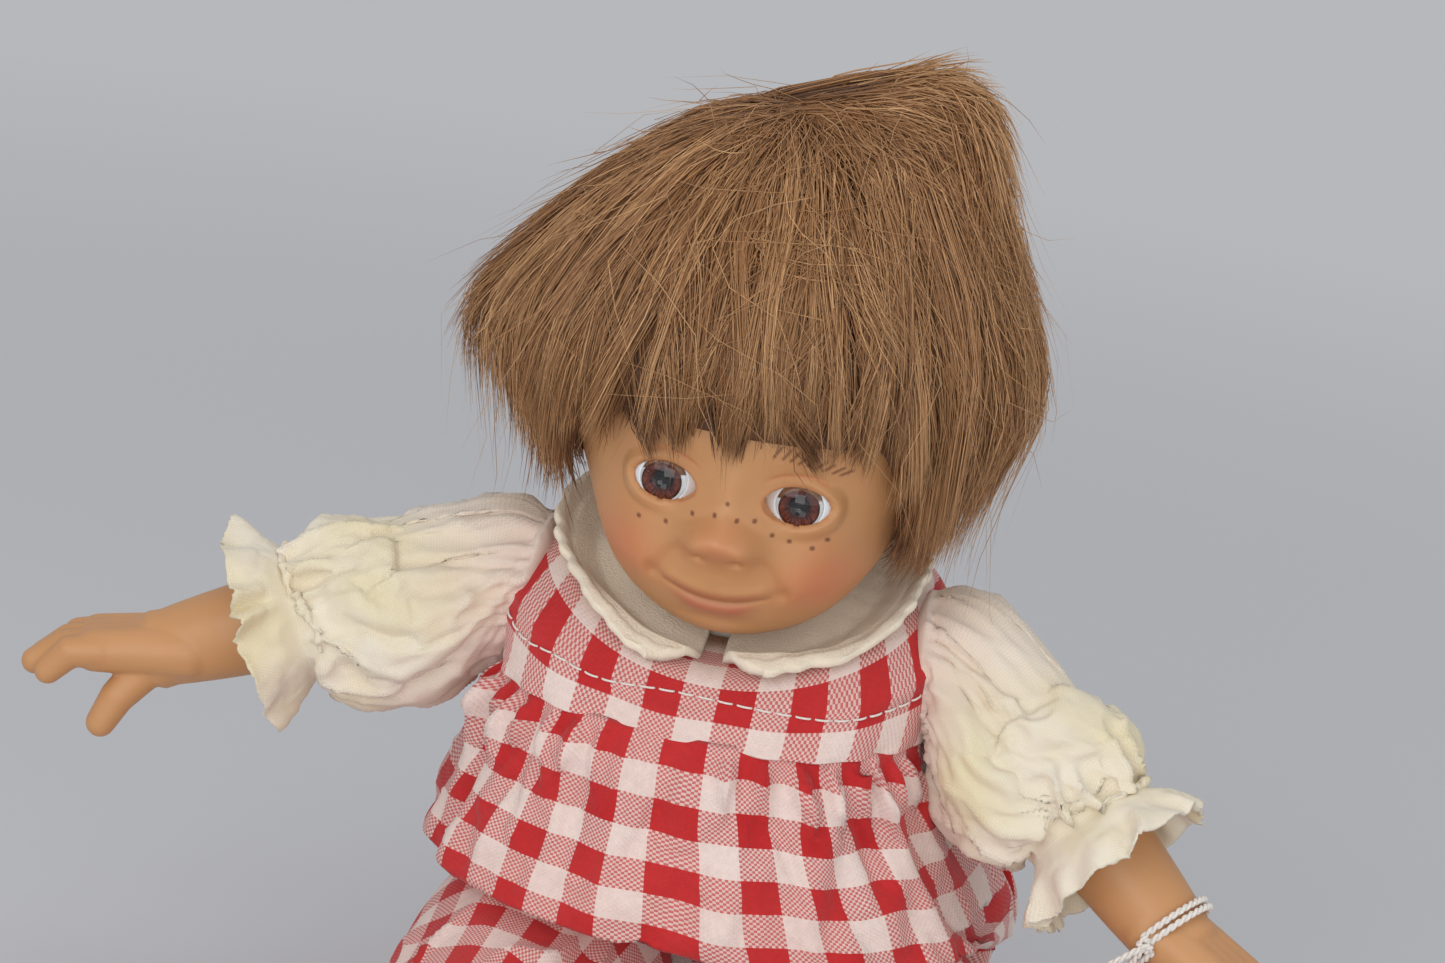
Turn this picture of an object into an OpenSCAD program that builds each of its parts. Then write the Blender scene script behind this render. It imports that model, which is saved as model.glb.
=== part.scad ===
// Soft-bodied doll that sits on a flat surface and faces -Y: a hollow vinyl head with rooted hair and
// set-in eyes, vinyl forearms and lower legs tied into a stuffed cloth body, and a gingham romper with
// a yoke, a two-piece flat collar and puffed sleeves. Millimetres, +Z up. The origin lies on the flat
// underside of the seat, behind the legs and midway between them.

/* [Body] */
// Height of the neck ring above the seat
neck_h = 109.5; // [104:0.5:116]
// Distance of the neck ring behind the middle of the body
neck_y = 2; // [0:0.5:4]
// Forward tilt of the neck ring, in degrees
neck_tilt = 15; // [12:0.5:17]
// Height of the yoke seam above the seat
seam_h = 83; // [79:0.5:86]
// Width of the romper at the yoke seam
chest_w = 70; // [67:0.5:71]
// Depth of the romper at the yoke seam
chest_d = 67; // [63:0.5:70]
// Number of folds that fall from the yoke
fold_n = 18; // [14:1:24]
// Depth of the folds that fall from the yoke
fold_h = 2.4; // [1:0.2:3]
// Width of the romper at the belly
belly_w = 102; // [96:0.5:106]
// Depth of the romper at the belly
belly_d = 72; // [68:0.5:76]
// Width of the seat
seat_w = 96; // [90:0.5:98]
// Depth of the seat behind the middle of the body
seat_back = 34; // [31:0.5:37]
// Sideways shift of the chest and head from the seat
slouch = 8; // [4:0.5:10]
// Thickness of the body and romper cloth
cloth_t = 1.2; // [0.8:0.1:1.5]
// Clearance between neighbouring pieces
gap = 0.4; // [0.3:0.05:0.5]

/* [Collar] */
// Radius of the collar at the front
collar_front_r = 35; // [33.5:0.5:36]
// Radius of the collar at the sides
collar_side_r = 33; // [31.5:0.5:34]
// Radius of the collar at the back
collar_back_r = 31; // [29:0.5:32]
// Thickness of the folded collar
collar_t = 1.6; // [1.2:0.1:2]
// Width of the gap between the two collar halves
collar_split = 3; // [2:0.5:5]

/* [Head] */
// Width of the skull
skull_w = 68; // [65:0.5:70]
// Depth of the skull
skull_d = 72; // [70:0.5:74]
// Height of the skull above its middle
skull_top = 36; // [34:0.5:38]
// Drop of the chin below the middle of the skull
chin_drop = 43; // [42:0.25:43.5]
// Width of the face at the cheeks
cheek_w = 51; // [49:0.5:53]
// Height of the skull's middle above the neck ring
head_rise = 31; // [30.75:0.25:34]
// Distance of the skull's middle in front of the neck ring
head_fwd = 6; // [5:0.2:7]
// Forward bow of the head, in degrees
head_bow = 1; // [0:0.5:3]
// Wall of the moulded head
head_wall = 2.4; // [2:0.1:3]
// Diameter of the neck above the groove
neck_d = 25; // [23:0.5:26]
// Diameter of the neck groove
neck_groove_d = 22; // [20:0.5:22.5]
// Diameter of the neck flange
neck_flange_d = 30; // [28:0.5:30.5]
// Outside diameter of the cloth neck casing
casing_d = 31; // [30:0.5:32]

/* [Eyes] */
// Diameter of an eye
eye_d = 14; // [13:0.25:14.5]
// Diameter of an iris
iris_d = 8; // [7:0.25:8.5]
// Distance between the eyes' centres
eye_pitch = 22.6; // [21:0.2:24]
// Drop of the eyes below the middle of the skull
eye_drop = 12; // [11:0.25:13]
// Thickness of an iris disc
iris_t = 0.5; // [0.3:0.1:0.8]

/* [Hair] */
// Height of the hair above the skull
hair_lift = 9.5; // [8:0.5:11]
// Height of the tuft beside the crown
tuft_h = 10.5; // [8:0.5:12]
// Rise of the hair at the crown
crown_h = 5; // [3:0.5:6]
// How far the hair's ends flare on the right
flare_w = 5; // [2:0.5:7]
// How far the hair draws in at the sides of the neck
taper_w = 7; // [4:0.5:8]
// Thickness of the hair at the sides
hair_side = 12; // [9:0.5:13]
// Thickness of the hair at the back
hair_back = 9; // [7:0.5:11]
// Thickness of the fringe over the forehead
hair_front = 5.5; // [4:0.5:7]
// Drop of the fringe's lower edge below the middle of the skull
fringe_drop = 2; // [0:0.5:4]
// Drop of the side and back hair below the middle of the skull
hair_drop = 24; // [20:0.5:25]

/* [Arms] */
// Distance between the shoulder centres
shoulder_w = 84; // [83:0.5:88]
// Drop of the shoulder centres below the neck ring
shoulder_drop = 13.5; // [13:0.5:15]
// Radius of the sleeve at the armhole
armhole_r = 12.5; // [11.5:0.25:12.75]
// Downward slope of the right arm, in degrees
right_arm_drop = 23; // [20:0.5:26]
// Forward turn of the right arm, in degrees
right_arm_turn = 11; // [6:0.5:16]
// Downward slope of the left arm, in degrees
left_arm_drop = 35.5; // [30:0.5:37]
// Forward turn of the left arm, in degrees
left_arm_turn = 24; // [18:0.5:30]
// Diameter of the puffed sleeve
puff_d = 38; // [35:0.5:40]
// Diameter of the sleeve at its elastic
elastic_d = 22.6; // [22.2:0.1:24]
// Diameter of the frill at the sleeve's edge
frill_d = 38; // [34:0.5:40]
// Length of the sleeve from the shoulder to the frill's edge
sleeve_len = 46; // [44:0.5:48]
// Width of the frill
frill_w = 9; // [7:0.5:10]
// Thickness of the sleeve cloth
sleeve_t = 1; // [0.7:0.1:1]
// Distance from the shoulder to the tie on the arm
arm_tie_at = 26; // [24:0.5:27]
// Diameter of the vinyl forearm at the elbow
forearm_d = 18.4; // [17:0.2:19]
// Diameter of the vinyl wrist
wrist_d = 14.4; // [13:0.2:15.6]
// Distance from the shoulder to the wrist
wrist_at = 62; // [60:0.5:65]
// Length of the hand from the wrist to the fingertips
hand_len = 26; // [24:0.5:28]
// Lift of each hand from the line of its arm, in degrees
hand_lift = 14; // [8:0.5:16]
// Thickness of the string tied round the left wrist
string_d = 1.2; // [0.9:0.1:1.5]

/* [Legs] */
// Distance between the hip centres
hip_w = 60; // [56:0.5:64]
// Distance of the hips in front of the middle of the body
hip_fwd = 10; // [8:0.5:12]
// Diameter of the romper leg at the hip
romper_leg_d = 48; // [44:0.5:50]
// Downward slope of the legs, in degrees
leg_drop = 6; // [5:0.25:6.5]
// Outward turn of the legs, in degrees
leg_spread = 8; // [5:0.5:12]
// Diameter of the stuffed thigh
thigh_d = 31; // [28:0.5:33]
// Distance from the hip to the tie on the leg
leg_tie_at = 46; // [44:0.5:48]
// Diameter of the vinyl calf
calf_d = 25; // [23:0.5:26]
// Diameter of the vinyl ankle
ankle_d = 18; // [16:0.5:20]
// Distance from the hip to the sole of the foot
leg_len = 104; // [100:0.5:110]
// Length of the foot from heel to toes
foot_len = 36; // [33:0.5:40]
// Width of the foot
foot_w = 18; // [16:0.5:20]

/* [Hidden] */
// Points round each body ring, and round each turned piece
ring_n = 36;
$fn = 48;
// Thickness of the ties and elastics
tie_t = 1.2;
// Gap between the romper's seat and the leg that turns in front of it
hip_gap = 1;
// Depth of the grooves that the ties sit in
groove_w = 4;

socket_r = romper_leg_d / 2 + hip_gap;
seat_round = 6;
// Middle of the body, which lies in front of the seat's underside
mid_x = -slouch;
mid_y = -(socket_r - hip_fwd + seat_back - seat_round) / 2;
neck = [mid_x, mid_y + neck_y, neck_h];
skull = [mid_x, mid_y + neck_y - head_fwd, neck_h + head_rise];
shoulder_z = neck_h - shoulder_drop;
hip_z = romper_leg_d / 2 + gap;
hip_y = mid_y - hip_fwd;
// The yoke's armholes are cut in flats, so they stand a little further off the sleeves
armhole_socket_r = armhole_r + gap + 0.4;

// Depths along the neck, below the neck ring
pivot_at = -11;
groove_top = pivot_at + groove_w / 2;
groove_bottom = pivot_at - groove_w / 2;
flange_t = 3;

skin_tone = "#c08a5a";
cream = "#efe6cf";
gingham = "#c8393c";
white = "#f4f2ee";
hair_tone = "#8a6a48";
body_cotton = "#e3c9a8";
wadding = "#f6f4ee";

// General shapes

function mix(a, b, t) = a + (b - a) * t;
function ease(t) = let (c = min(1, max(0, t))) c * c * (3 - 2 * c);
function bump(x, y, w, h) = exp(-pow(x / w, 2) - pow(y / h, 2));
// The larger of two lengths, with the corner between them rounded over k
function soft_max(a, b, k) = max(a, b) + pow(max(0, k - abs(a - b)), 2) / (4 * k);
// A point of a tilted frame, moved into the frame that holds it
function tilted(p, at, tilt) =
  [at.x + p.x, at.y + p.y * cos(tilt) - p.z * sin(tilt), at.z + p.y * sin(tilt) + p.z * cos(tilt)];

// Solid skin over a list of rings that all have the same number of points.
// A looped skin joins its last ring to its first, as round a sleeve's wall.
module skin(rings, looped = false) {
  n = len(rings[0]);
  m = len(rings);
  sides = [
    for (i = [0 : m - (looped ? 1 : 2)], j = [0 : n - 1])
      let (a = i * n, b = ((i + 1) % m) * n, k = (j + 1) % n)
      each [[a + j, b + j, a + k], [a + k, b + j, b + k]]
  ];
  caps = looped ? [] : [[for (j = [0 : n - 1]) j], [for (j = [n - 1 : -1 : 0]) (m - 1) * n + j]];
  polyhedron([for (r = rings) each r], concat(sides, caps), convexity = 8);
}

// Body of the romper, as rings that every layer of the torso shares

// How far the body cloth and the wadding lie inside the romper
cloth_grow = -(cloth_t + 1.5 * gap);
filling_grow = cloth_grow - cloth_t - 2 * gap;
// The body lies this much looser inside the yoke
chest_ease = 1.5;

// Height, half width, front depth and back depth of the romper
body_table = [
  [0, seat_w / 2 - seat_round, chest_d / 2, seat_back - seat_round],
  [seat_round, seat_w / 2, chest_d / 2, seat_back],
  [hip_z, seat_w / 2, belly_d / 2, seat_back],
  [hip_z + socket_r, belly_w / 2, belly_d / 2 + 2, belly_d / 2 - 2],
  [mix(hip_z + socket_r, seam_h, 0.3), mix(belly_w, chest_w, 0.3) / 2, belly_d / 2 + 2, belly_d / 2 - 2.5],
  [mix(hip_z + socket_r, seam_h, 0.6), mix(belly_w, chest_w, 0.7) / 2, belly_d / 2, chest_d / 2 - 2],
  [mix(hip_z + socket_r, seam_h, 0.8), mix(belly_w, chest_w, 0.9) / 2, chest_d / 2 + 2.5, chest_d / 2 - 2],
  [seam_h, chest_w / 2, chest_d / 2 + 2.5, chest_d / 2 - 2.5]
];
function body_size(z, column) = lookup(z, [for (row = body_table) [row[0], row[column]]]);
function body_x(z) = mid_x * ease((z - hip_z) / (seam_h - hip_z));

// Keeps a point of the torso out of the armholes. Inner layers pass a negative grow and stand further off.
function spared(p, grow) =
  let (
    r = armhole_socket_r - grow,
    low = p.z - shoulder_z,
    left = r * r - low * low - pow((p.y - mid_y) / 2, 2),
    reach = left > 0 ? shoulder_w / 2 - sqrt(left) : shoulder_w,
    out = p.x - mid_x
  )
  [mid_x + sign(out) * min(abs(out), reach), p.y, p.z];
// Front of the torso at height z, behind the space that the legs turn in
function front_y(z, grow) =
  let (r = socket_r - grow, low = z - hip_z)
  low >= r - 0.001 ? mid_y - body_size(z, 2) - grow
                   : max(mid_y - body_size(z, 2) - grow, hip_y + (low > 0 ? sqrt(r * r - low * low) : r));
// A sine or cosine swelled towards a box
function swell(c) = sign(c) * pow(abs(c), 2 / 2.4);

// Where the front and back halves of a body ring meet: behind the legs low down, at the middle higher up
function split_y(z) =
  let (waist = hip_z + socket_r + 4)
  mix(hip_y + socket_r - filling_grow + 1, mid_y, ease((z - waist) / (seam_h - waist)));
// How far the gathered cloth stands out at angle a: unevenly spaced folds that fade below the waist and
// leave the back opening flat
function fold(a, z) =
  fold_h * ease((seam_h - z) / 8) * ease((z - hip_z - socket_r + 6) / 14)
  * (0.5 + 0.5 * cos(fold_n * a + 40 * sin(3 * a))) * (1 - bump(a - 90, 0, 13, 1));
function low_ring(z, grow, n = ring_n, folded = false) =
  let (mid = split_y(z), fore = mid - front_y(z, grow), aft = mid_y + body_size(z, 3) + grow - mid)
  [
    for (i = [0 : n - 1])
      let (a = 360 * i / n, out = folded ? fold(a, z) : 0)
      [
        body_x(z) + (body_size(z, 1) + grow + out) * swell(cos(a)),
        mid + ((sin(a) < 0 ? fore : aft) + out) * swell(sin(a)),
        z
      ]
  ];
function low_heights(grow) =
  let (floor_z = -grow, top = hip_z + socket_r - grow)
  [
    floor_z, max(seat_round, floor_z + 2), hip_z * 0.6, hip_z, mix(hip_z, top, 0.4), mix(hip_z, top, 0.7),
    mix(hip_z, top, 0.88), top - 1, top, each [for (row = [4, 5, 6]) body_table[row][0]]
  ];
function low_rings(grow, n = ring_n, folded = false) = concat(
  [for (z = low_heights(grow)) low_ring(z, grow, n, folded)],
  [low_ring(seam_h, grow, n)]
);

// Height of the collar's upper face over the neck ring, at radius r and angle a from the front.
// It is flat round the neck, lowest under the chin, and rises over the shoulders.
dish_low = -4.6;
chin_room = 3.9;
dish_r = 26;
front_slope = 0.62;
side_slope = 0.72;
function to_front(a) = pow(max(0, cos(a)), 2);
function dish(r, a) =
  dish_low - chin_room * to_front(a)
  + max(0, r - dish_r) * mix(side_slope, front_slope, pow(cos(a), 2));
// Radius of the collar at angle a from the front
function collar_r(a) =
  let (deep = cos(a) > 0 ? collar_front_r : collar_back_r)
  1 / sqrt(pow(sin(a) / collar_side_r, 2) + pow(cos(a) / deep, 2));
function yoke_z(r, a) = dish(r, a) - collar_t - gap;
function neck_point(r, a, z) = tilted([r * sin(a), -r * cos(a), z], neck, neck_tilt);
// The angle of each body ring's point, measured from the front
function from_front(i) = 360 * i / ring_n + 90;

yoke_rim = 2;
function bent_ring(t, grow) = [
  for (i = [0 : ring_n - 1])
    let (
      a = 360 * i / ring_n,
      z = mix(seam_h, neck_h - 9 - chin_room * to_front(from_front(i)), t),
      wide = mix(chest_w / 2, collar_side_r + 4, t) + grow,
      deep = (sin(a) < 0 ? mix(chest_d / 2 + 2.5, collar_front_r - 1, t)
                         : mix(chest_d / 2 - 2.5, collar_back_r + 2, t)) + grow,
      at = [mid_x, mid_y + neck_y * t, z],
      p = tilted([wide * swell(cos(a)), deep * swell(sin(a)), 0], at, neck_tilt * 0.8 * t)
    )
    spared(p, grow)
];
function top_ring(inset, drop, grow) = [
  for (i = [0 : ring_n - 1])
    let (a = from_front(i), r = collar_r(a) - inset)
    spared(neck_point(r, a, yoke_z(r, a) - drop), grow)
];
function hole_ring(r, drop) = [
  for (i = [0 : ring_n - 1]) neck_point(r, from_front(i), yoke_z(dish_r, from_front(i)) - drop)
];
// Rings from the yoke seam to the neck hole, for one layer
function high_rings(grow, hole_r) = concat(
  [for (t = [0.2, 0.45, 0.7, 0.95]) bent_ring(t, grow)],
  [
    top_ring(-1 - grow * 0.7, yoke_rim - grow, grow), top_ring(1 - grow, -grow, grow),
    hole_ring(dish_r, -grow), hole_ring(hole_r, -grow)
  ]
);
function backwards(rings) = [for (i = [len(rings) - 1 : -1 : 0]) rings[i]];

// Neck holes of the yoke and of the body cloth
yoke_hole_r = casing_d / 2 + 2;
cloth_hole_r = casing_d / 2 + gap;

module romper_body() {
  n = 4 * fold_n;
  color(gingham) skin(concat(low_rings(0, n, folded = true), backwards(low_rings(-cloth_t, n))));
}

module romper_yoke() {
  outer = concat([low_ring(seam_h, 0)], high_rings(0, yoke_hole_r));
  inner = concat([low_ring(seam_h, -cloth_t)], high_rings(-cloth_t, yoke_hole_r));
  color(gingham) skin(concat(outer, backwards(inner)), looped = true);
}

module torso_cloth() {
  chest_grow = cloth_grow - chest_ease;
  outer = concat(low_rings(cloth_grow), high_rings(chest_grow, cloth_hole_r));
  inner = concat(low_rings(cloth_grow - cloth_t), high_rings(chest_grow - cloth_t, cloth_hole_r));
  color(body_cotton) skin(concat(outer, backwards(inner)));
}

// The wadding stops below the neck flange, which nods over it
module torso_stuffing() {
  color(wadding) skin(concat(low_rings(filling_grow), [bent_ring(0.1, filling_grow - chest_ease)]));
}

// One half of the collar, swept from the front split to the back split
collar_steps = 22;
collar_in_r = yoke_hole_r + 0.5;
module collar_half(side) {
  function section(a) =
    let (r1 = collar_in_r, r2 = dish_r, r3 = collar_r(a), edge = collar_t * 0.25)
    [
      for (p = [
        [r1, dish(r1, a)], [r2, dish(r2, a)], [r3 - edge, dish(r3, a)], [r3, dish(r3, a) - edge],
        [r3, dish(r3, a) - collar_t + edge], [r3 - edge, dish(r3, a) - collar_t],
        [r2, dish(r2, a) - collar_t], [r1, dish(r1, a) - collar_t]
      ])
        neck_point(p[0], side * a, p[1])
    ];
  split_a = asin(collar_split / 2 / collar_in_r);
  rings = [for (i = [0 : collar_steps]) section(mix(split_a, 180 - split_a, i / collar_steps))];
  color(cream) skin(side > 0 ? rings : backwards(rings));
}

// Press studs down the back opening
snap_r = 3;
snap_t = 1.4;
snap_count = 3;
module back_snaps() {
  pitch = (seam_h - hip_z - socket_r) / snap_count;
  color(white)
    for (i = [0 : snap_count - 1]) {
      z = seam_h - pitch * (i + 0.25);
      at = max([for (dz = [-snap_r, 0, snap_r]) body_size(z + dz, 3)]);
      translate([body_x(z), mid_y + at + gap / 2, z]) rotate([-90, 0, 0]) {
        cylinder(r = snap_r, h = snap_t / 2);
        cylinder(r = snap_r / 2, h = snap_t);
      }
    }
}

// Neck

module neck_frame() {
  translate(neck) rotate([neck_tilt, 0, 0]) children();
}

// Cloth drawn into the groove: its outside is a zone of a ball, so it can nod in the torso's neck hole
module neck_casing() {
  casing_h = groove_w - 2 * gap;
  color(body_cotton)
    neck_frame()
      translate([0, 0, pivot_at])
        difference() {
          intersection() {
            sphere(d = casing_d);
            cylinder(d = casing_d + 1, h = casing_h, center = true);
          }
          cylinder(d = neck_groove_d + 2 * gap, h = casing_h + 1, center = true);
          rotate_extrude()
            translate([casing_d / 2 - tie_t - gap, -tie_t / 2 - gap / 2])
              square([tie_t + gap + 1, tie_t + gap]);
        }
}

module neck_tie() {
  color(white)
    neck_frame()
      translate([0, 0, pivot_at])
        rotate_extrude()
          translate([casing_d / 2 - tie_t - gap / 2, -tie_t / 2]) square([tie_t, tie_t]);
}

// Head

// Distance of the moulded head's surface from the skull's middle, at angle a from the front and
// height angle b. The skull and the jaw are two ellipsoids run together.
jaw_at = [0, -8, -18];
jaw_size = [cheek_w / 2, 26.5, chin_drop + jaw_at.z];
function ball_r(d, at, size) =
  let (
    p = d.x * d.x / pow(size.x, 2) + d.y * d.y / pow(size.y, 2) + d.z * d.z / pow(size.z, 2),
    q = d.x * at.x / pow(size.x, 2) + d.y * at.y / pow(size.y, 2) + d.z * at.z / pow(size.z, 2),
    s = pow(at.x / size.x, 2) + pow(at.y / size.y, 2) + pow(at.z / size.z, 2) - 1
  )
  (q + sqrt(q * q - p * s)) / p;
function bare_r(a, b) =
  let (d = [cos(b) * sin(a), -cos(b) * cos(a), sin(b)])
  soft_max(ball_r(d, [0, 0, 0], [skull_w / 2, skull_d / 2, skull_top]), ball_r(d, jaw_at, jaw_size), 5);
function head_r(a, b) =
  bare_r(a, b)
  + 6 * bump(a, b + 28, 7, 6.5)
  + 1.4 * bump(abs(a) - 30, b + 40, 13, 12)
  - 1.8 * bump(abs(a) - 20, b + 21, 10, 8)
  + 1.6 * bump(a, b + 56, 12, 8)
  + 2.5 * bump(abs(a) - 95, b + 16, 12, 14);
function head_point(a, b, r) =
  tilted([r * cos(b) * sin(a), -r * cos(b) * cos(a), r * sin(b)], skull, head_bow);

head_n = 48;
// Angles round the head, closer together on the face
function head_angle(i) = let (s = 2 * i / head_n - 1) 180 * (0.45 * s + 0.55 * s * s * s);
function head_ring(b, inset) = [
  for (i = [0 : head_n - 1]) let (a = head_angle(i)) head_point(a, b, head_r(a, b) - inset)
];
function neck_ring(d, z) = [for (i = [0 : head_n - 1]) neck_point(d / 2, head_angle(i), z)];
head_rows = [
  88, 78, 66, 54, 42, 31, 21, 12, 4, -3, -9, -14, -18, -22, -26, -30, -34, -38, -43, -48, -53, -58, -63
];
inner_rows = [-52, -38, -22, -4, 16, 36, 56, 76, 88];
neck_top = -4.5;

module eye_frame(side) {
  translate(skull)
    rotate([head_bow, 0, 0])
      translate([side * eye_pitch / 2, -eye_seat, -eye_drop])
        rotate([90, 0, side * eye_splay])
          children();
}
// The eye stands this far out of the face
eye_proud = 1.6;
eye_splay = 4;
eye_seat = let (
    a = atan2(eye_pitch / 2, skull_d / 2 - 4),
    b = -atan2(eye_drop, skull_d / 2 - 2),
    r = head_r(a, b)
  ) r * cos(b) * cos(a) + eye_proud - eye_d / 2;

module head_shell() {
  bore = neck_groove_d - 2 * head_wall;
  outer = concat(
    [for (b = head_rows) head_ring(b, 0)],
    [
      neck_ring(neck_d, neck_top), neck_ring(neck_d, groove_top), neck_ring(neck_groove_d, groove_top),
      neck_ring(neck_groove_d, groove_bottom), neck_ring(neck_flange_d, groove_bottom),
      neck_ring(neck_flange_d, groove_bottom - flange_t)
    ]
  );
  inner = concat(
    [neck_ring(bore, groove_bottom - flange_t), neck_ring(bore, neck_top)],
    [for (b = inner_rows) head_ring(b, head_wall)]
  );
  color(skin_tone)
    difference() {
      skin(concat(outer, inner));
      for (side = [-1, 1]) eye_frame(side) sphere(d = eye_d + gap);
    }
}

iris_seat = eye_d / 2 * 0.72;
module eye_white(side) {
  color(white)
    eye_frame(side)
      difference() {
        sphere(d = eye_d);
        translate([0, 0, iris_seat]) cylinder(d = iris_d + gap / 4, h = eye_d);
      }
}

module iris(side) {
  color("#5a2f26") eye_frame(side) translate([0, 0, iris_seat]) cylinder(d = iris_d, h = iris_t);
}

module eye_lens(side) {
  color([0.9, 0.92, 0.95, 0.5])
    eye_frame(side)
      intersection() {
        sphere(d = eye_d);
        translate([0, 0, iris_seat + iris_t]) cylinder(d = iris_d, h = eye_d);
      }
}

// Hair: a cap over the scalp with a fringe in front, fuller at the sides and back, and a tuft swept to
// the left of the crown
hair_rows = 12;
nape_lift = 4;
function hair_low(a) =
  mix(fringe_drop, hair_drop, ease((abs(a) - 38) / 42)) - nape_lift * ease((abs(a) - 105) / 45);
function hair_wide(a) =
  let (
    x = skull_w / 2 + hair_side,
    y = skull_d / 2 + (abs(a) < 90 ? hair_front : hair_back)
  )
  1 / sqrt(pow(sin(a) / x, 2) + pow(cos(a) / y, 2));
// The outside runs over a lifted crown as a quarter ellipse and then hangs down to the cut edge. Its ends
// flare on the right, and the sides taper to the neck
function hair_outer(a, s) =
  let (
    top = skull_top + hair_lift,
    run = 90 + hair_low(a) * 1.2,
    turn = s * run,
    tuft = tuft_h * bump(a - 100, turn - 28, 65, 18),
    flare = flare_w * bump(a + 82, turn - 90, 36, 14),
    taper = taper_w * (a > 0 ? 1 : 0.6) * ease((turn - 84) / 34) * ease((abs(a) - 45) / 30),
    w = hair_wide(a) * sin(min(90, max(2, turn))) + tuft * 0.4 + flare - taper,
    z = (turn < 90 ? top * cos(max(2, turn)) : -(turn - 90) / 1.2) + tuft + crown_h * bump(turn, 0, 34, 1)
  )
  tilted([w * sin(a), -w * cos(a), z], skull, head_bow);
function hair_inner(a, s) =
  let (low = -atan2(hair_low(a), hair_wide(a) - 6), b = mix(88, low, s))
  head_point(a, b, head_r(a, b) + gap + 0.5);

module rooted_hair() {
  angles = [for (i = [0 : head_n - 1]) head_angle(i)];
  outer = [for (k = [0 : hair_rows]) [for (a = angles) hair_outer(a, k / hair_rows)]];
  inner = [for (k = [hair_rows : -1 : 0]) [for (a = angles) hair_inner(a, k / hair_rows)]];
  color(hair_tone) skin(concat(outer, inner));
}

// Arms: each is drawn along +Z from the shoulder, with +X on its lower side and -Y on its front

module arm_frame(side) {
  drop = side > 0 ? left_arm_drop : right_arm_drop;
  turn = side > 0 ? left_arm_turn : right_arm_turn;
  translate([mid_x, mid_y, shoulder_z])
    mirror([side > 0 ? 0 : 1, 0, 0])
      translate([shoulder_w / 2, 0, 0])
        rotate([0, 90 + drop, -turn])
          children();
}

// Points of a ball's outline round the origin, from near its pole to its equator
function ball_arc(r, from = 75) = [
  for (i = [0 : 5]) let (a = mix(from, 0, i / 5)) [r * cos(a), -r * sin(a)]
];

elastic_at = sleeve_len - frill_w;
module sleeve_profile(r0, rp, re, rf) {
  polygon(concat(
    ball_arc(r0, 50),
    [
      [mix(r0, rp, 0.26), elastic_at * 0.15], [mix(r0, rp, 0.62), elastic_at * 0.31],
      [rp, elastic_at * 0.56],
      [mix(rp, re, 0.12), elastic_at * 0.76], [mix(rp, re, 0.55), elastic_at * 0.92], [re, elastic_at],
      [re, elastic_at + 2], [mix(re, rf, 0.7), sleeve_len - frill_w * 0.4], [rf, sleeve_len]
    ],
    [
      [rf - sleeve_t, sleeve_len], [mix(re, rf, 0.7) - sleeve_t, sleeve_len - frill_w * 0.4],
      [re - sleeve_t, elastic_at + 2], [re - sleeve_t, elastic_at],
      [mix(rp, re, 0.55) - sleeve_t, elastic_at * 0.92], [mix(rp, re, 0.12) - sleeve_t, elastic_at * 0.76],
      [rp - sleeve_t, elastic_at * 0.56], [mix(r0, rp, 0.62) - sleeve_t, elastic_at * 0.31],
      [mix(r0, rp, 0.26) - sleeve_t, elastic_at * 0.15]
    ],
    backwards(ball_arc(r0 - sleeve_t, 50))
  ));
}

module sleeve(side) {
  color(cream)
    arm_frame(side) rotate_extrude() sleeve_profile(armhole_r, puff_d / 2, elastic_d / 2, frill_d / 2);
}

elastic_w = 2;
module sleeve_elastic(side) {
  outer_r = elastic_d / 2 - sleeve_t - gap / 2;
  color(white)
    arm_frame(side)
      rotate_extrude()
        translate([outer_r - tie_t / 2, elastic_at]) square([tie_t / 2, elastic_w]);
}

// The stuffed cloth arm, drawn in at its end round the groove of the vinyl forearm
arm_r = armhole_r - sleeve_t - gap;
forearm_groove_r = forearm_d / 2 - 2;
function limb_profile(r, tie_at, groove_r, wall) = concat(
  ball_arc(r),
  [
    [r, tie_at - 6], [groove_r + 1 + gap + wall, tie_at - 1.2], [groove_r + gap + wall, tie_at - 0.4],
    [groove_r + gap + wall, tie_at + 1.6]
  ],
  [
    [groove_r + gap, tie_at + 1.6], [groove_r + gap, tie_at - 1.6], [groove_r + 1 + gap, tie_at - 1.6],
    [r - wall, tie_at - 6 - wall]
  ],
  backwards(ball_arc(r - wall))
);
function filling_profile(r, end) = concat([[0, -r]], ball_arc(r), [[r, end], [0, end]]);

module upper_arm(side) {
  color(body_cotton)
    arm_frame(side) rotate_extrude() polygon(limb_profile(arm_r, arm_tie_at, forearm_groove_r, cloth_t));
}

module arm_stuffing(side) {
  color(wadding)
    arm_frame(side)
      rotate_extrude() polygon(filling_profile(arm_r - cloth_t - gap, arm_tie_at - 7.8));
}

module limb_tie(tie_at, groove_r) {
  rotate_extrude()
    translate([groove_r + gap + cloth_t + gap / 2, tie_at]) square([tie_t, tie_t]);
}

module arm_tie(side) {
  color(white) arm_frame(side) limb_tie(arm_tie_at, forearm_groove_r);
}

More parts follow.
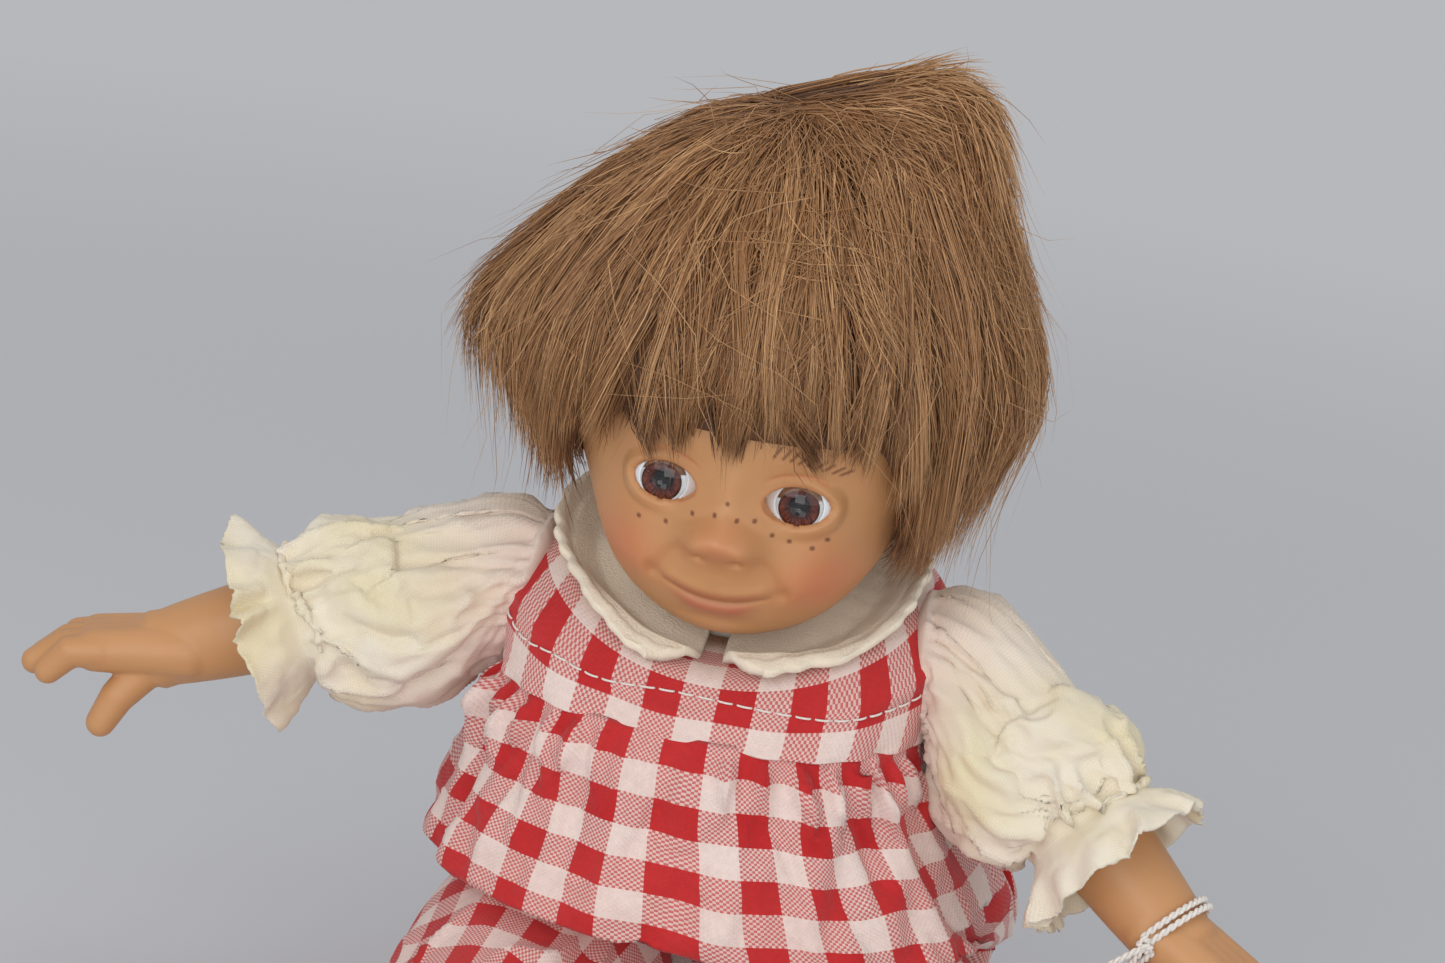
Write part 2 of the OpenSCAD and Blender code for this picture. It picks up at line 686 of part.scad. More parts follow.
// Turned part of a vinyl limb: flange, groove and a tapering stem with a rounded end
module limb_stem(tie_at, groove_r, stem_r, end_r, end_at) {
  shoulder_at = tie_at + groove_w / 2;
  rotate_extrude($fn = 32)
    polygon(concat(
      [
        [0, tie_at - groove_w / 2 - flange_t], [groove_r + 1, tie_at - groove_w / 2 - flange_t],
        [groove_r + 1, tie_at - groove_w / 2], [groove_r, tie_at - groove_w / 2],
        [groove_r, shoulder_at], [stem_r - 0.8, shoulder_at], [stem_r, shoulder_at + 1.5],
        [mix(stem_r, end_r, 0.25), mix(shoulder_at, end_at, 0.55)], [end_r, end_at]
      ],
      [[0, end_at]]
    ));
}

// A rod with round ends
module rod(a, b, ra, rb) {
  hull() {
    translate(a) sphere(r = ra, $fn = 14);
    translate(b) sphere(r = rb, $fn = 14);
  }
}

// Hand with its palm towards +X and the first finger on its -Y side, drawn along +Z from the wrist
finger_r = 3;
module hand() {
  knuckle = hand_len * 0.48;
  spread = finger_r * 1.72;
  hull() {
    for (y = [-0.25, 0.25]) translate([0, y * wrist_d, 0]) sphere(r = wrist_d / 2 - 3, $fn = 18);
    for (y = [-1, 1]) translate([-1, y * (spread - 0.6), knuckle]) sphere(r = finger_r + 0.9, $fn = 18);
  }
  for (i = [0 : 3]) {
    y = mix(-spread, spread, i / 3);
    reach = hand_len * [0.9, 1, 0.97, 0.86][i] - finger_r + 0.5;
    curl = [3.4, 2.6, 2.8, 3.4][i];
    bend = mix(knuckle, reach, 0.5);
    rod([-1.2, y, knuckle - 1], [-0.9, y, bend], finger_r, finger_r - 0.15);
    rod([-0.9, y, bend], [curl - 0.9, y * 0.94, reach], finger_r - 0.15, finger_r - 0.5);
  }
  web = [hand_len * 0.3, -spread * 0.8, hand_len * 0.34];
  rod([2, -spread * 0.45, 3.5], web, finger_r + 0.8, finger_r + 0.2);
  rod(web, [hand_len * 0.48, -spread * 0.9, hand_len * 0.46], finger_r + 0.2, finger_r - 0.4);
}

module forearm(side) {
  color(skin_tone)
    arm_frame(side) {
      limb_stem(arm_tie_at, forearm_groove_r, forearm_d / 2, wrist_d / 2, wrist_at + 1);
      translate([0, 0, wrist_at]) rotate([0, -hand_lift, 0]) hand();
    }
}

// Cotton string wound twice round the wrist, with a knot and two short tails
string_at = wrist_at - 1;
string_r = mix(forearm_d, wrist_d, 0.78) / 2 + string_d / 2 + 0.1;
tail_len = 9;
module wrist_string() {
  color(white)
    arm_frame(1) {
      for (turn = [0, 1])
        translate([0, 0, string_at - 1.3 * string_d * turn])
          rotate_extrude() translate([string_r, 0]) circle(d = string_d, $fn = 24);
      for (tilt = [-16, 16])
        translate([0, -string_r - string_d * 0.9, string_at - string_d * 0.6])
          rotate([0, 90, 0]) rotate([tilt, 0, 0]) cylinder(d = string_d, h = tail_len, $fn = 24);
      translate([0, -string_r - string_d * 0.7, string_at - string_d * 0.65])
        sphere(d = string_d * 2, $fn = 24);
    }
}

// Legs: each is drawn along +Z from the hip, with the toes towards +Y

module leg_frame(side) {
  translate([side * hip_w / 2, hip_y, hip_z]) rotate([90 + leg_drop, 0, side * leg_spread]) children();
}

cuff_at = leg_tie_at + 8;
cuff_w = 7;
romper_leg_r = romper_leg_d / 2;
cuff_r = calf_d / 2 + cloth_t + 1.2;
// Radius that keeps a sloping leg just clear of the floor
function leg_room(t) = romper_leg_r - t * sin(leg_drop) - 0.1;
function romper_leg_line(wall) = [
  for (p = [
    [leg_room(14), 14], [leg_room(30), 30], [leg_room(44) - 1.5, 44], [cuff_r + 1, cuff_at - 2],
    [cuff_r, cuff_at], [cuff_r, cuff_at + 2], [cuff_r + 2.4, cuff_at + cuff_w]
  ]) [p[0] - wall, p[1]]
];

module romper_leg(side) {
  color(gingham)
    leg_frame(side)
      rotate_extrude()
        polygon(concat(
          ball_arc(romper_leg_r, 60), romper_leg_line(0), backwards(romper_leg_line(cloth_t)),
          backwards(ball_arc(romper_leg_r - cloth_t, 60))
        ));
}

module leg_elastic(side) {
  outer_r = cuff_r - cloth_t - gap / 2;
  color(white)
    leg_frame(side)
      rotate_extrude() translate([outer_r - tie_t / 2, cuff_at]) square([tie_t / 2, elastic_w]);
}

leg_groove_r = calf_d / 2 - 2.5;
module thigh(side) {
  color(body_cotton)
    leg_frame(side) rotate_extrude() polygon(limb_profile(thigh_d / 2, leg_tie_at, leg_groove_r, cloth_t));
}

module thigh_stuffing(side) {
  color(wadding)
    leg_frame(side)
      rotate_extrude()
        polygon(filling_profile(thigh_d / 2 - cloth_t - gap, leg_tie_at - 7.8));
}

module leg_tie(side) {
  color(white) leg_frame(side) limb_tie(leg_tie_at, leg_groove_r);
}

// Foot with its sole facing +Z, the heel on the floor side and five toes
heel_r = ankle_d / 2 + 0.6;
toe_r = 2.7;
module foot(side) {
  sole = leg_len;
  // The heel reaches down to the seat plane
  low = -(hip_z - (leg_len - heel_r) * sin(leg_drop)) / cos(leg_drop) + heel_r + gap;
  ball_y = low - heel_r + foot_len - 2 * toe_r - 3;
  hull() {
    translate([0, low, sole - heel_r]) sphere(r = heel_r, $fn = 24);
    for (x = [-1, 1]) translate([x * (foot_w / 2 - 4.5), ball_y, sole - 5]) sphere(r = 4.5, $fn = 18);
  }
  hull() {
    translate([0, 0, leg_len - heel_r * 2.2]) sphere(r = ankle_d / 2, $fn = 24);
    translate([0, low, sole - heel_r]) sphere(r = heel_r, $fn = 24);
  }
  hull() {
    translate([0, 0, leg_len - heel_r * 2.2]) sphere(r = ankle_d / 2, $fn = 24);
    translate([0, ball_y - 6, sole - 5.5]) sphere(r = 5, $fn = 18);
  }
  for (i = [0 : 4]) {
    x = side * mix(-foot_w / 2 + 3.4, foot_w / 2 - 2, i / 4);
    r = mix(toe_r + 0.6, toe_r - 0.5, i / 4);
    tip = low - heel_r + foot_len - r - i * 0.9;
    rod([x * 0.9, ball_y - 2, sole - 4.5], [x, tip, sole - 4.2], r, r);
  }
}

module lower_leg(side) {
  color(skin_tone)
    leg_frame(side) {
      limb_stem(leg_tie_at, leg_groove_r, calf_d / 2, ankle_d / 2, leg_len - heel_r * 2.2);
      foot(side);
    }
}

torso_cloth();
torso_stuffing();
romper_body();
romper_yoke();
collar_half(-1);  // collar_right
collar_half(1);  // collar_left
back_snaps();
neck_casing();
neck_tie();
head_shell();
rooted_hair();
eye_white(-1);  // eye_white_right
eye_white(1);  // eye_white_left
iris(-1);  // iris_right
iris(1);  // iris_left
eye_lens(-1);  // eye_lens_right
eye_lens(1);  // eye_lens_left
upper_arm(-1);  // upper_arm_right
arm_stuffing(-1);  // arm_stuffing_right
sleeve(-1);  // sleeve_right
sleeve_elastic(-1);  // sleeve_elastic_right
forearm(-1);  // forearm_right
arm_tie(-1);  // arm_tie_right
upper_arm(1);  // upper_arm_left
arm_stuffing(1);  // arm_stuffing_left
sleeve(1);  // sleeve_left
sleeve_elastic(1);  // sleeve_elastic_left
forearm(1);  // forearm_left
arm_tie(1);  // arm_tie_left
wrist_string();
thigh(-1);  // thigh_right
thigh_stuffing(-1);  // thigh_stuffing_right
romper_leg(-1);  // romper_leg_right
leg_elastic(-1);  // leg_elastic_right
lower_leg(-1);  // lower_leg_right
leg_tie(-1);  // leg_tie_right
thigh(1);  // thigh_left
thigh_stuffing(1);  // thigh_stuffing_left
romper_leg(1);  // romper_leg_left
leg_elastic(1);  // leg_elastic_left
lower_leg(1);  // lower_leg_left
leg_tie(1);  // leg_tie_left
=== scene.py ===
import math

import bmesh
import bpy
import numpy as np
from mathutils import Matrix, Vector


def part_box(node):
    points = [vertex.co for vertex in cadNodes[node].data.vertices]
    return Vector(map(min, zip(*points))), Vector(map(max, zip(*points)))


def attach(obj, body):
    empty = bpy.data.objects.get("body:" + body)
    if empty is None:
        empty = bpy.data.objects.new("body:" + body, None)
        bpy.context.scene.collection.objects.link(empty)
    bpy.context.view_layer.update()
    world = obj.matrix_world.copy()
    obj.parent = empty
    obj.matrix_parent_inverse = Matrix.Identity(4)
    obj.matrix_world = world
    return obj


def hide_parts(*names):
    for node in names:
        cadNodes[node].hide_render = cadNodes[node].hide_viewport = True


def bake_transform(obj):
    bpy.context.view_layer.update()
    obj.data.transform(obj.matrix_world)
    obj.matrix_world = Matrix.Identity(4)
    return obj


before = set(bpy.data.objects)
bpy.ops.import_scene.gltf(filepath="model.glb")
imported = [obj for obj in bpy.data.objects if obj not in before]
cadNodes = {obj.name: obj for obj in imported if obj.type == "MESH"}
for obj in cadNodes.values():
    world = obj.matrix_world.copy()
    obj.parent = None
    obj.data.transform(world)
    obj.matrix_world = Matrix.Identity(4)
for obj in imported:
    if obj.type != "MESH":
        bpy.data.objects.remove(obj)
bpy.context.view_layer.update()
mm = 0.001  # shapes are worked out in millimetres and stored in metres
print("frame loaded:", len(cadNodes), "nodes")

# Places that several pieces share, in millimetres: they repeat the frame's own
doll = dict(
    skull=np.array((-8.0, -25.5, 140.5)), headBow=1.0,
    neck=np.array((-8.0, -19.5, 109.5)), neckTilt=15.0,
    midX=-8.0, midY=-21.5, shoulderZ=96.0, shoulderOut=42.0,
)


def smooth(t, low=0.0, high=1.0):
    # an S-curve from 0 at low to 1 at high
    c = np.clip((t - low) / (high - low), 0, 1)
    return c * c * (3 - 2 * c)


def mix(a, b, t):
    # straight from a at 0 to b at 1
    return a + (b - a) * t


def bump(*terms):
    # a bell: e to the minus sum of squares, each of an offset over its width
    return np.exp(-sum((offset / width) ** 2 for offset, width in terms))


def softMax(a, b, k):
    # the larger of a and b, with the corner between them rounded over k
    return np.maximum(a, b) + np.maximum(0, k - np.abs(a - b)) ** 2 / (4 * k)


def tilted(points, at, degrees):
    # points turned about X so that the front dips, then moved to a place
    c, s = math.cos(math.radians(degrees)), math.sin(math.radians(degrees))
    x, y, z = np.moveaxis(points, -1, 0)
    return np.stack((x, y * c - z * s, y * s + z * c), -1) + at


def ripple(seed, count, scale):
    # a random sum of plane waves about scale long, over (x, y) or (x, y, z), from about -1 to 1
    r = np.random.default_rng(seed)
    heading = r.normal(size=(count, 3))
    heading *= (6.283 / scale * r.uniform(0.6, 1.5, count) / np.linalg.norm(heading, axis=1))[:, None]
    phase = r.uniform(0, 6.283, count)

    def value(x, y, z=0.0):
        waves = (np.sin(h[0] * x + h[1] * y + h[2] * z + p) for h, p in zip(heading, phase))
        return sum(waves) * 1.2 / math.sqrt(count)
    return value


def raised(p, height, flip=False):
    # a grid closed round its second direction, moved along its own normal by a height at each point
    normal = np.cross(np.gradient(p, axis=0), np.roll(p, -1, 1) - np.roll(p, 1, 1)) * (-1 if flip else 1)
    normal /= np.linalg.norm(normal, axis=-1, keepdims=True) + 1e-9
    return p + normal * height[..., None]


def creased(p, seed, size, deep, flip=False):
    # sharp creases of height deep, about size apart: each runs where a smooth noise crosses zero
    noise = np.abs(ripple(seed, 7, 2.0)(*np.moveaxis(p / size, -1, 0)))
    return raised(p, deep * np.maximum(0, 1 - noise) ** 3, flip)


def ironed(p, weight, times):
    # the same kind of grid, evened out where weight is over 0:
    # each point moves towards the mean of its four neighbours
    for _ in range(times):
        rows = np.concatenate((p[:1], p, p[-1:]))
        mean = (rows[:-2] + rows[2:] + np.roll(p, 1, 1) + np.roll(p, -1, 1)) / 4
        p = p + (mean - p) * 0.6 * weight[..., None]
    return p


def runLength(path):
    # the length run along a path, or along the first direction of a grid as the mean of its columns
    step = np.linalg.norm(np.diff(path, axis=0), axis=-1)
    return np.concatenate(((0.0,), np.cumsum(step if step.ndim == 1 else step.mean(1))))


def squareTo(path):
    # the direction of a path at each point, and two directions square to it
    step = np.gradient(path, axis=0)
    step /= np.linalg.norm(step, axis=1, keepdims=True)
    side = np.cross(step, (0.31, 0.17, 0.93))
    side /= np.linalg.norm(side, axis=1, keepdims=True)
    return side, np.cross(side, step)


def turned(profile, sides, cuts=5):
    # a profile of (radius, height), each stretch of it cut in several, turned about Z
    fine = [np.linspace(p, q, cuts, endpoint=False) for p, q in zip(profile, profile[1:])]
    fine = np.concatenate(fine + [profile[-1:]])
    w = np.linspace(0, 2 * math.pi, sides, endpoint=False)
    return np.stack(np.broadcast_arrays(fine[:, :1] * np.cos(w), fine[:, :1] * np.sin(w), fine[:, 1:]), -1)


def fitted(piece, body, node=None):
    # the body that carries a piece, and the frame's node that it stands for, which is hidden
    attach(piece, body)
    if node:
        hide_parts(node)


def rawMesh(name, points, faces, material, uv=None, paint=None):
    # a mesh from points in millimetres and faces of one size.
    # uv is per face corner and in millimetres, paint is per point
    mesh = bpy.data.meshes.new(name)
    count, corners = faces.shape
    mesh.vertices.add(len(points))
    mesh.vertices.foreach_set("co", (np.asarray(points, float) * mm).astype(np.float32).ravel())
    mesh.loops.add(count * corners)
    mesh.loops.foreach_set("vertex_index", faces.astype(np.int32).ravel())
    mesh.polygons.add(count)
    mesh.polygons.foreach_set("loop_start", np.arange(0, count * corners, corners, dtype=np.int32))
    if uv is not None:
        mesh.uv_layers.new(name="UVMap").data.foreach_set("uv", (uv * mm).astype(np.float32).ravel())
    if paint is not None:
        rgba = np.ones((len(points), 4), np.float32)
        rgba[:, :paint.shape[-1]] = paint
        mesh.attributes.new("paint", "FLOAT_COLOR", "POINT").data.foreach_set("color", rgba.ravel())
    mesh.update(calc_edges=True)
    mesh.shade_smooth()
    mesh.materials.append(material)
    piece = bpy.data.objects.new(name, mesh)
    bpy.context.scene.collection.objects.link(piece)
    return piece


def gridFaces(nu, nv, closeU=False, closeV=False):
    # the four corners of each cell of a grid, as unwrapped row and column numbers
    i, j = np.meshgrid(np.arange(nu - (not closeU)), np.arange(nv - (not closeV)), indexing="ij")
    rows, columns = np.stack((i, i + 1, i + 1, i), -1), np.stack((j, j, j + 1, j + 1), -1)
    return rows.reshape(-1, 4), columns.reshape(-1, 4)


def gridMesh(name, points, material, closeU=False, closeV=False, uv=None, paint=None, flip=False):
    # quads over a grid of points; where it closes, uv has one more row or column than points
    nu, nv = points.shape[:2]
    ci, cj = gridFaces(nu, nv, closeU, closeV)
    if flip:
        ci, cj = ci[:, ::-1], cj[:, ::-1]
    faces = (ci % nu) * nv + cj % nv
    return rawMesh(
        name, points.reshape(-1, 3), faces, material,
        None if uv is None else uv[ci, cj].reshape(-1, 2),
        None if paint is None else paint.reshape(-1, paint.shape[-1]))


def weld(piece):
    # poles and seams of a grid become single points, and faces with no area go
    work = bmesh.new()
    work.from_mesh(piece.data)
    bmesh.ops.remove_doubles(work, verts=work.verts, dist=2e-7)
    bmesh.ops.dissolve_degenerate(work, edges=work.edges, dist=1e-8)
    bmesh.ops.recalc_face_normals(work, faces=work.faces)
    work.to_mesh(piece.data)
    work.free()
    piece.data.shade_smooth()
    return piece


def tube(path, radius, sides):
    # rings square to a path, with a radius that may vary along it; the ends draw in to a point
    side, up = squareTo(path)
    a = np.linspace(0, 2 * math.pi, sides, endpoint=False)
    ring = np.cos(a)[None, :, None] * side[:, None] + np.sin(a)[None, :, None] * up[:, None]
    rings = path[:, None] + ring * np.broadcast_to(np.asarray(radius, float), len(path))[:, None, None]
    ends = [np.broadcast_to(path[k], (1, sides, 3)) for k in (0, -1)]
    return np.concatenate((ends[0], rings, ends[1]))


def joined(name, grids, material):
    # several grids of points, each closed round its second direction, as one mesh
    points, faces, base = [], [], 0
    for grid in grids:
        nu, nv = grid.shape[:2]
        ci, cj = gridFaces(nu, nv, closeV=True)
        faces.append(base + ci * nv + cj % nv)
        points.append(grid.reshape(-1, 3))
        base += nu * nv
    return weld(rawMesh(name, np.concatenate(points), np.concatenate(faces), material))


def hexLinear(text):
    # an sRGB hex colour as linear values
    c = np.array([int(text[i:i + 2], 16) for i in (1, 3, 5)]) / 255
    return (*np.where(c <= 0.04045, c / 12.92, ((c + 0.055) / 1.055) ** 2.4), 1.0)


def newMaterial(name, **sockets):
    # a material with its shader's sockets set; a hex colour is turned to linear
    material = bpy.data.materials.new(name)
    material.use_nodes = True
    tree = material.node_tree
    shader = tree.nodes["Principled BSDF"]
    for key, value in sockets.items():
        socket = shader.inputs[key.replace("_", " ")]
        socket.default_value = hexLinear(value) if isinstance(value, str) else value
    return material, tree, shader.inputs


def add(tree, kind, inputs, out=0, **settings):
    # one shader node with its settings and links; gives back one of its outputs
    node = tree.nodes.new("ShaderNode" + kind)
    for key, value in settings.items():
        setattr(node, key, value)
    for key, value in inputs.items():
        if isinstance(value, bpy.types.NodeSocket):
            tree.links.new(value, node.inputs[key])
        else:
            node.inputs[key].default_value = hexLinear(value) if isinstance(value, str) else value
    return node.outputs[out]


# Camera at the photograph's view, for a frame of 1445 by 963
view = dict(
    target=np.array((-8.0, -51.5, 127.0)), azimuth=6.0, elevation=16.0, roll=9.7,
    distance=700.0, pixel=0.169, aim=(735.0, 490.0), size=(1445, 963),
)


def placeCamera():
    # looks at the target from a distance, shifted sideways so that the target falls on its own pixel
    az, el = math.radians(view["azimuth"]), math.radians(view["elevation"])
    back = Vector((math.sin(az) * math.cos(el), -math.cos(az) * math.cos(el), math.sin(el)))
    turn = back.to_track_quat("Z", "Y").to_matrix() @ Matrix.Rotation(math.radians(view["roll"]), 3, "Z")
    axes = np.array(turn)
    off = (np.array(view["size"]) / 2 - view["aim"]) * view["pixel"]
    at = view["target"] + axes[:, 0] * off[0] - axes[:, 1] * off[1] + axes[:, 2] * view["distance"]
    data = bpy.data.cameras.new("camera")
    data.sensor_width = 36
    data.lens = 36 * view["distance"] / (view["size"][0] * view["pixel"])
    data.clip_start, data.clip_end = 0.01, 20
    camera = bpy.data.objects.new("camera", data)
    camera.matrix_world = Matrix.Translation(Vector(at * mm)) @ turn.to_4x4()
    bpy.context.scene.collection.objects.link(camera)
    bpy.context.scene.camera = camera
    return at, axes


cameraAt, cameraAxes = placeCamera()


def toPhoto(points):
    # the photograph's pixel that each point falls on
    q = (points - cameraAt) @ cameraAxes
    scale = view["distance"] / view["pixel"] / -q[..., 2]
    return np.stack((view["size"][0] / 2 + q[..., 0] * scale, view["size"][1] / 2 - q[..., 1] * scale), -1)


# A pale grey floor that fades into a room of its own grey, with four large soft lamps
studio = dict(
    paper="#CBCCCF", room="#B7B8BB", fadeFrom=0.3, fadeTo=0.95, floor=3000.0,
    lamps=(("key", (-0.5, -1.0, 0.66), 0.8, 4.0), ("fill", (0.75, -0.95, 0.36), 0.9, 2.3),
           ("front", (0.05, -1.25, 0.24), 0.6, 3.2), ("top", (0.1, 0.0, 1.15), 0.9, 2.2)),
)


def makeStudio():
    # the floor turns to the room's light with distance, so no edge shows from any side
    paper, tree, _ = newMaterial("greyPaperFloor", Base_Color=studio["paper"], Roughness=0.9)
    away = add(tree, "VectorMath", {0: add(tree, "TexCoord", {}, out=3)}, out=1, operation="LENGTH")
    fade = add(
        tree, "MapRange", {0: away, 1: studio["fadeFrom"], 2: studio["fadeTo"]},
        interpolation_type="SMOOTHSTEP")
    glow = add(tree, "Emission", {0: studio["room"]})
    seen = add(tree, "MixShader", {0: fade, 1: tree.nodes["Principled BSDF"].outputs[0], 2: glow})
    tree.links.new(seen, tree.nodes["Material Output"].inputs[0])
    r, w = np.linspace(1, studio["floor"], 30)[:, None], np.linspace(0, 2 * math.pi, 64, endpoint=False)
    points = np.stack(np.broadcast_arrays(r * np.cos(w), r * np.sin(w), -0.3), -1)
    gridMesh("paperFloor", points, paper, closeV=True)
    world = bpy.data.worlds.new("greyRoom")
    world.use_nodes = True
    world.node_tree.nodes["Background"].inputs["Color"].default_value = hexLinear(studio["room"])
    bpy.context.scene.world = world
    for name, at, size, energy in studio["lamps"]:
        lamp = bpy.data.lights.new(name, "AREA")
        lamp.size, lamp.energy = size, energy
        light = bpy.data.objects.new(name, lamp)
        aim = (Vector(at) - Vector((0, -0.03, 0.1))).to_track_quat("Z", "Y")
        light.matrix_world = Matrix.Translation(Vector(at)) @ aim.to_matrix().to_4x4()
        bpy.context.scene.collection.objects.link(light)
    bpy.context.scene.view_settings.view_transform = "Standard"


makeStudio()
print("camera and studio set")


# Materials. Each is named for what the real one is and how it was made.

def castVinyl():
    # rotocast vinyl: soft satin skin with a faint mould grain, and paint sprayed through masks
    material, tree, shader = newMaterial(
        "rotocastVinylSatin", Roughness=0.44, IOR=1.52, Specular_IOR_Level=0.42,
        Subsurface_Weight=0.12, Subsurface_Scale=0.0015)
    place = add(tree, "TexCoord", {}, out=3)
    cloud = add(tree, "TexNoise", {"Vector": place, "Scale": 45, "Detail": 3})  # 22 mm mottling of the resin
    # 0.45 mm mould grain, coarser than real
    grain = add(tree, "TexNoise", {"Vector": place, "Scale": 2200, "Detail": 2})
    skin = add(tree, "Mix", {0: cloud, 6: "#BF8856", 7: "#CE9A6A"}, out=2, data_type="RGBA")
    paint = add(tree, "Attribute", {}, attribute_name="paint")
    masks = add(tree, "SeparateColor", {0: paint}).node.outputs
    # blush, then lips, then freckles and brows
    for mask, cover, colour in zip(masks, (0.75, 0.75, 1.0), ("#D2714E", "#B4644C", "#6A3522")):
        cover = add(tree, "Math", {0: mask, 1: cover}, operation="MULTIPLY")
        skin = add(tree, "Mix", {0: cover, 6: skin, 7: colour}, out=2, data_type="RGBA")
    tree.links.new(skin, shader["Base Color"])
    rough = add(tree, "MapRange", {"Value": cloud, "To Min": 0.38, "To Max": 0.5})
    tree.links.new(rough, shader["Roughness"])
    relief = add(tree, "Bump", {"Strength": 0.05, "Distance": 0.0003, "Height": grain})
    tree.links.new(relief, shader["Normal"])
    return material


def nylonFibre():
    # drawn nylon hair: each fibre has its own tone and a long soft shine; its paint also carries painted
    # shade, dark at the roots and in the lower layers, and is a little lighter towards the ends
    material, tree, shader = newMaterial("drawnNylonHair", Roughness=0.42, IOR=1.53, Specular_IOR_Level=0.45)
    paint = add(tree, "Attribute", {}, attribute_name="paint")
    tone = add(tree, "SeparateColor", {0: paint})
    dark = add(tree, "MapRange", {"Value": tone, "From Min": 0.0, "From Max": 0.5})
    pale = add(tree, "MapRange", {"Value": tone, "From Min": 0.5, "From Max": 1.0})
    colour = add(tree, "Mix", {0: dark, 6: "#482B1A", 7: "#A07045"}, out=2, data_type="RGBA")
    colour = add(tree, "Mix", {0: pale, 6: colour, 7: "#DEB07E"}, out=2, data_type="RGBA")
    tree.links.new(colour, shader["Base Color"])
    return material


def weave(tree, pitch):
    # plain weave on the UV map: the thread's number each way, which way's thread lies on top,
    # and the height of that thread, a half round
    axes = add(tree, "SeparateXYZ", {0: add(tree, "TexCoord", {}, out=2)}).node.outputs
    cells, swells = [], []
    for axis in axes[:2]:
        thread = add(tree, "Math", {0: axis, 1: pitch * mm}, operation="DIVIDE")
        cells.append(add(tree, "Math", {0: thread}, operation="FLOOR"))
        within = add(tree, "Math", {0: thread}, operation="FRACT")
        within = add(tree, "Math", {0: within, 1: math.pi}, operation="MULTIPLY")
        swells.append(add(tree, "Math", {0: within}, operation="SINE"))
    over = add(tree, "Math", {0: cells[0], 1: cells[1]})
    over = add(tree, "Math", {0: over, 1: 2.0}, operation="FLOORED_MODULO")
    return cells, over, add(tree, "Mix", {0: over, 2: swells[0], 3: swells[1]})


gingham = dict(
    check=6.35, threads=13, red="#B5181D", redFaded="#D23A3A", white="#F1E1D8", whiteFaded="#EBCFC5",
)


def wovenGingham():
    # yarn-dyed plain-weave cotton: stripes of red and white yarn both ways, so mixed checks show both yarns.
    # A check is 6.35 mm; it has 13 threads here, coarser than the real 16 so that they show
    material, tree, shader = newMaterial(
        "wovenGinghamCotton", Roughness=0.85, Sheen_Weight=0.15, Sheen_Roughness=0.5, Specular_IOR_Level=0.2)
    cells, over, height = weave(tree, gingham["check"] / gingham["threads"])
    stripes = []
    for cell in cells:
        block = add(tree, "Math", {0: cell, 1: float(gingham["threads"])}, operation="DIVIDE")
        block = add(tree, "Math", {0: block}, operation="FLOOR")
        stripes.append(add(tree, "Math", {0: block, 1: 2.0}, operation="FLOORED_MODULO"))
    red = add(tree, "Mix", {0: over, 2: stripes[0], 3: stripes[1]})
    # the yarns' hairy edges run into each other a little
    both = add(tree, "Math", {0: stripes[0], 1: stripes[1]})
    both = add(tree, "Math", {0: both, 1: 0.5}, operation="MULTIPLY")
    red = add(tree, "Mix", {0: 0.4, 2: red, 3: both})
    place = add(tree, "TexCoord", {}, out=3)
    fade = add(tree, "TexNoise", {"Vector": place, "Scale": 60, "Detail": 4})  # 16 mm washing fade
    slub = add(tree, "TexNoise", {"Vector": place, "Scale": 900, "Detail": 2})  # 1 mm slubs in the yarn
    dye = add(tree, "Mix", {0: fade, 6: gingham["red"], 7: gingham["redFaded"]}, out=2, data_type="RGBA")
    pale = add(tree, "Mix", {0: fade, 6: gingham["white"], 7: gingham["whiteFaded"]}, out=2, data_type="RGBA")
    cloth = add(tree, "Mix", {0: red, 6: pale, 7: dye}, out=2, data_type="RGBA")
    shade = add(tree, "MapRange", {"Value": slub, "To Min": 0.86, "To Max": 1.06})
    cloth = add(tree, "Mix", {0: 1.0, 6: cloth, 7: shade}, out=2, data_type="RGBA", blend_type="MULTIPLY")
    tree.links.new(cloth, shader["Base Color"])
    relief = add(tree, "Bump", {"Strength": 0.35, "Distance": 0.0002, "Height": height})
    tree.links.new(relief, shader["Normal"])
    return material


def plainWeave(name, colour, stain, pitch, depth, tint=None):
    # plain-weave cotton of one yarn: an even grid of threads, with old washing stains in clouds.
    # Where the piece has paint, its first channel turns the cloth to tint
    material, tree, shader = newMaterial(
        name, Roughness=0.88, Sheen_Weight=0.2, Sheen_Roughness=0.45, Specular_IOR_Level=0.18)
    height = weave(tree, pitch)[2]
    place = add(tree, "TexCoord", {}, out=3)
    cloud = add(tree, "TexNoise", {"Vector": place, "Scale": 55, "Detail": 4})  # 18 mm clouds of yellowing
    cloud = add(tree, "MapRange", {"Value": cloud, "From Min": 0.38, "From Max": 0.68})
    cloth = add(tree, "Mix", {0: cloud, 6: colour, 7: stain}, out=2, data_type="RGBA")
    if tint:
        paint = add(tree, "SeparateColor", {0: add(tree, "Attribute", {}, attribute_name="paint")})
        cloth = add(tree, "Mix", {0: paint, 6: cloth, 7: tint}, out=2, data_type="RGBA")
    # darker where each thread dips under the next: painted shade in the hollows of the weave
    shade = add(tree, "MapRange", {"Value": height, "To Min": 0.88, "To Max": 1.02})
    cloth = add(tree, "Mix", {0: 1.0, 6: cloth, 7: shade}, out=2, data_type="RGBA", blend_type="MULTIPLY")
    tree.links.new(cloth, shader["Base Color"])
    relief = add(tree, "Bump", {"Strength": depth, "Distance": 0.0002, "Height": height})
    tree.links.new(relief, shader["Normal"])
    return material


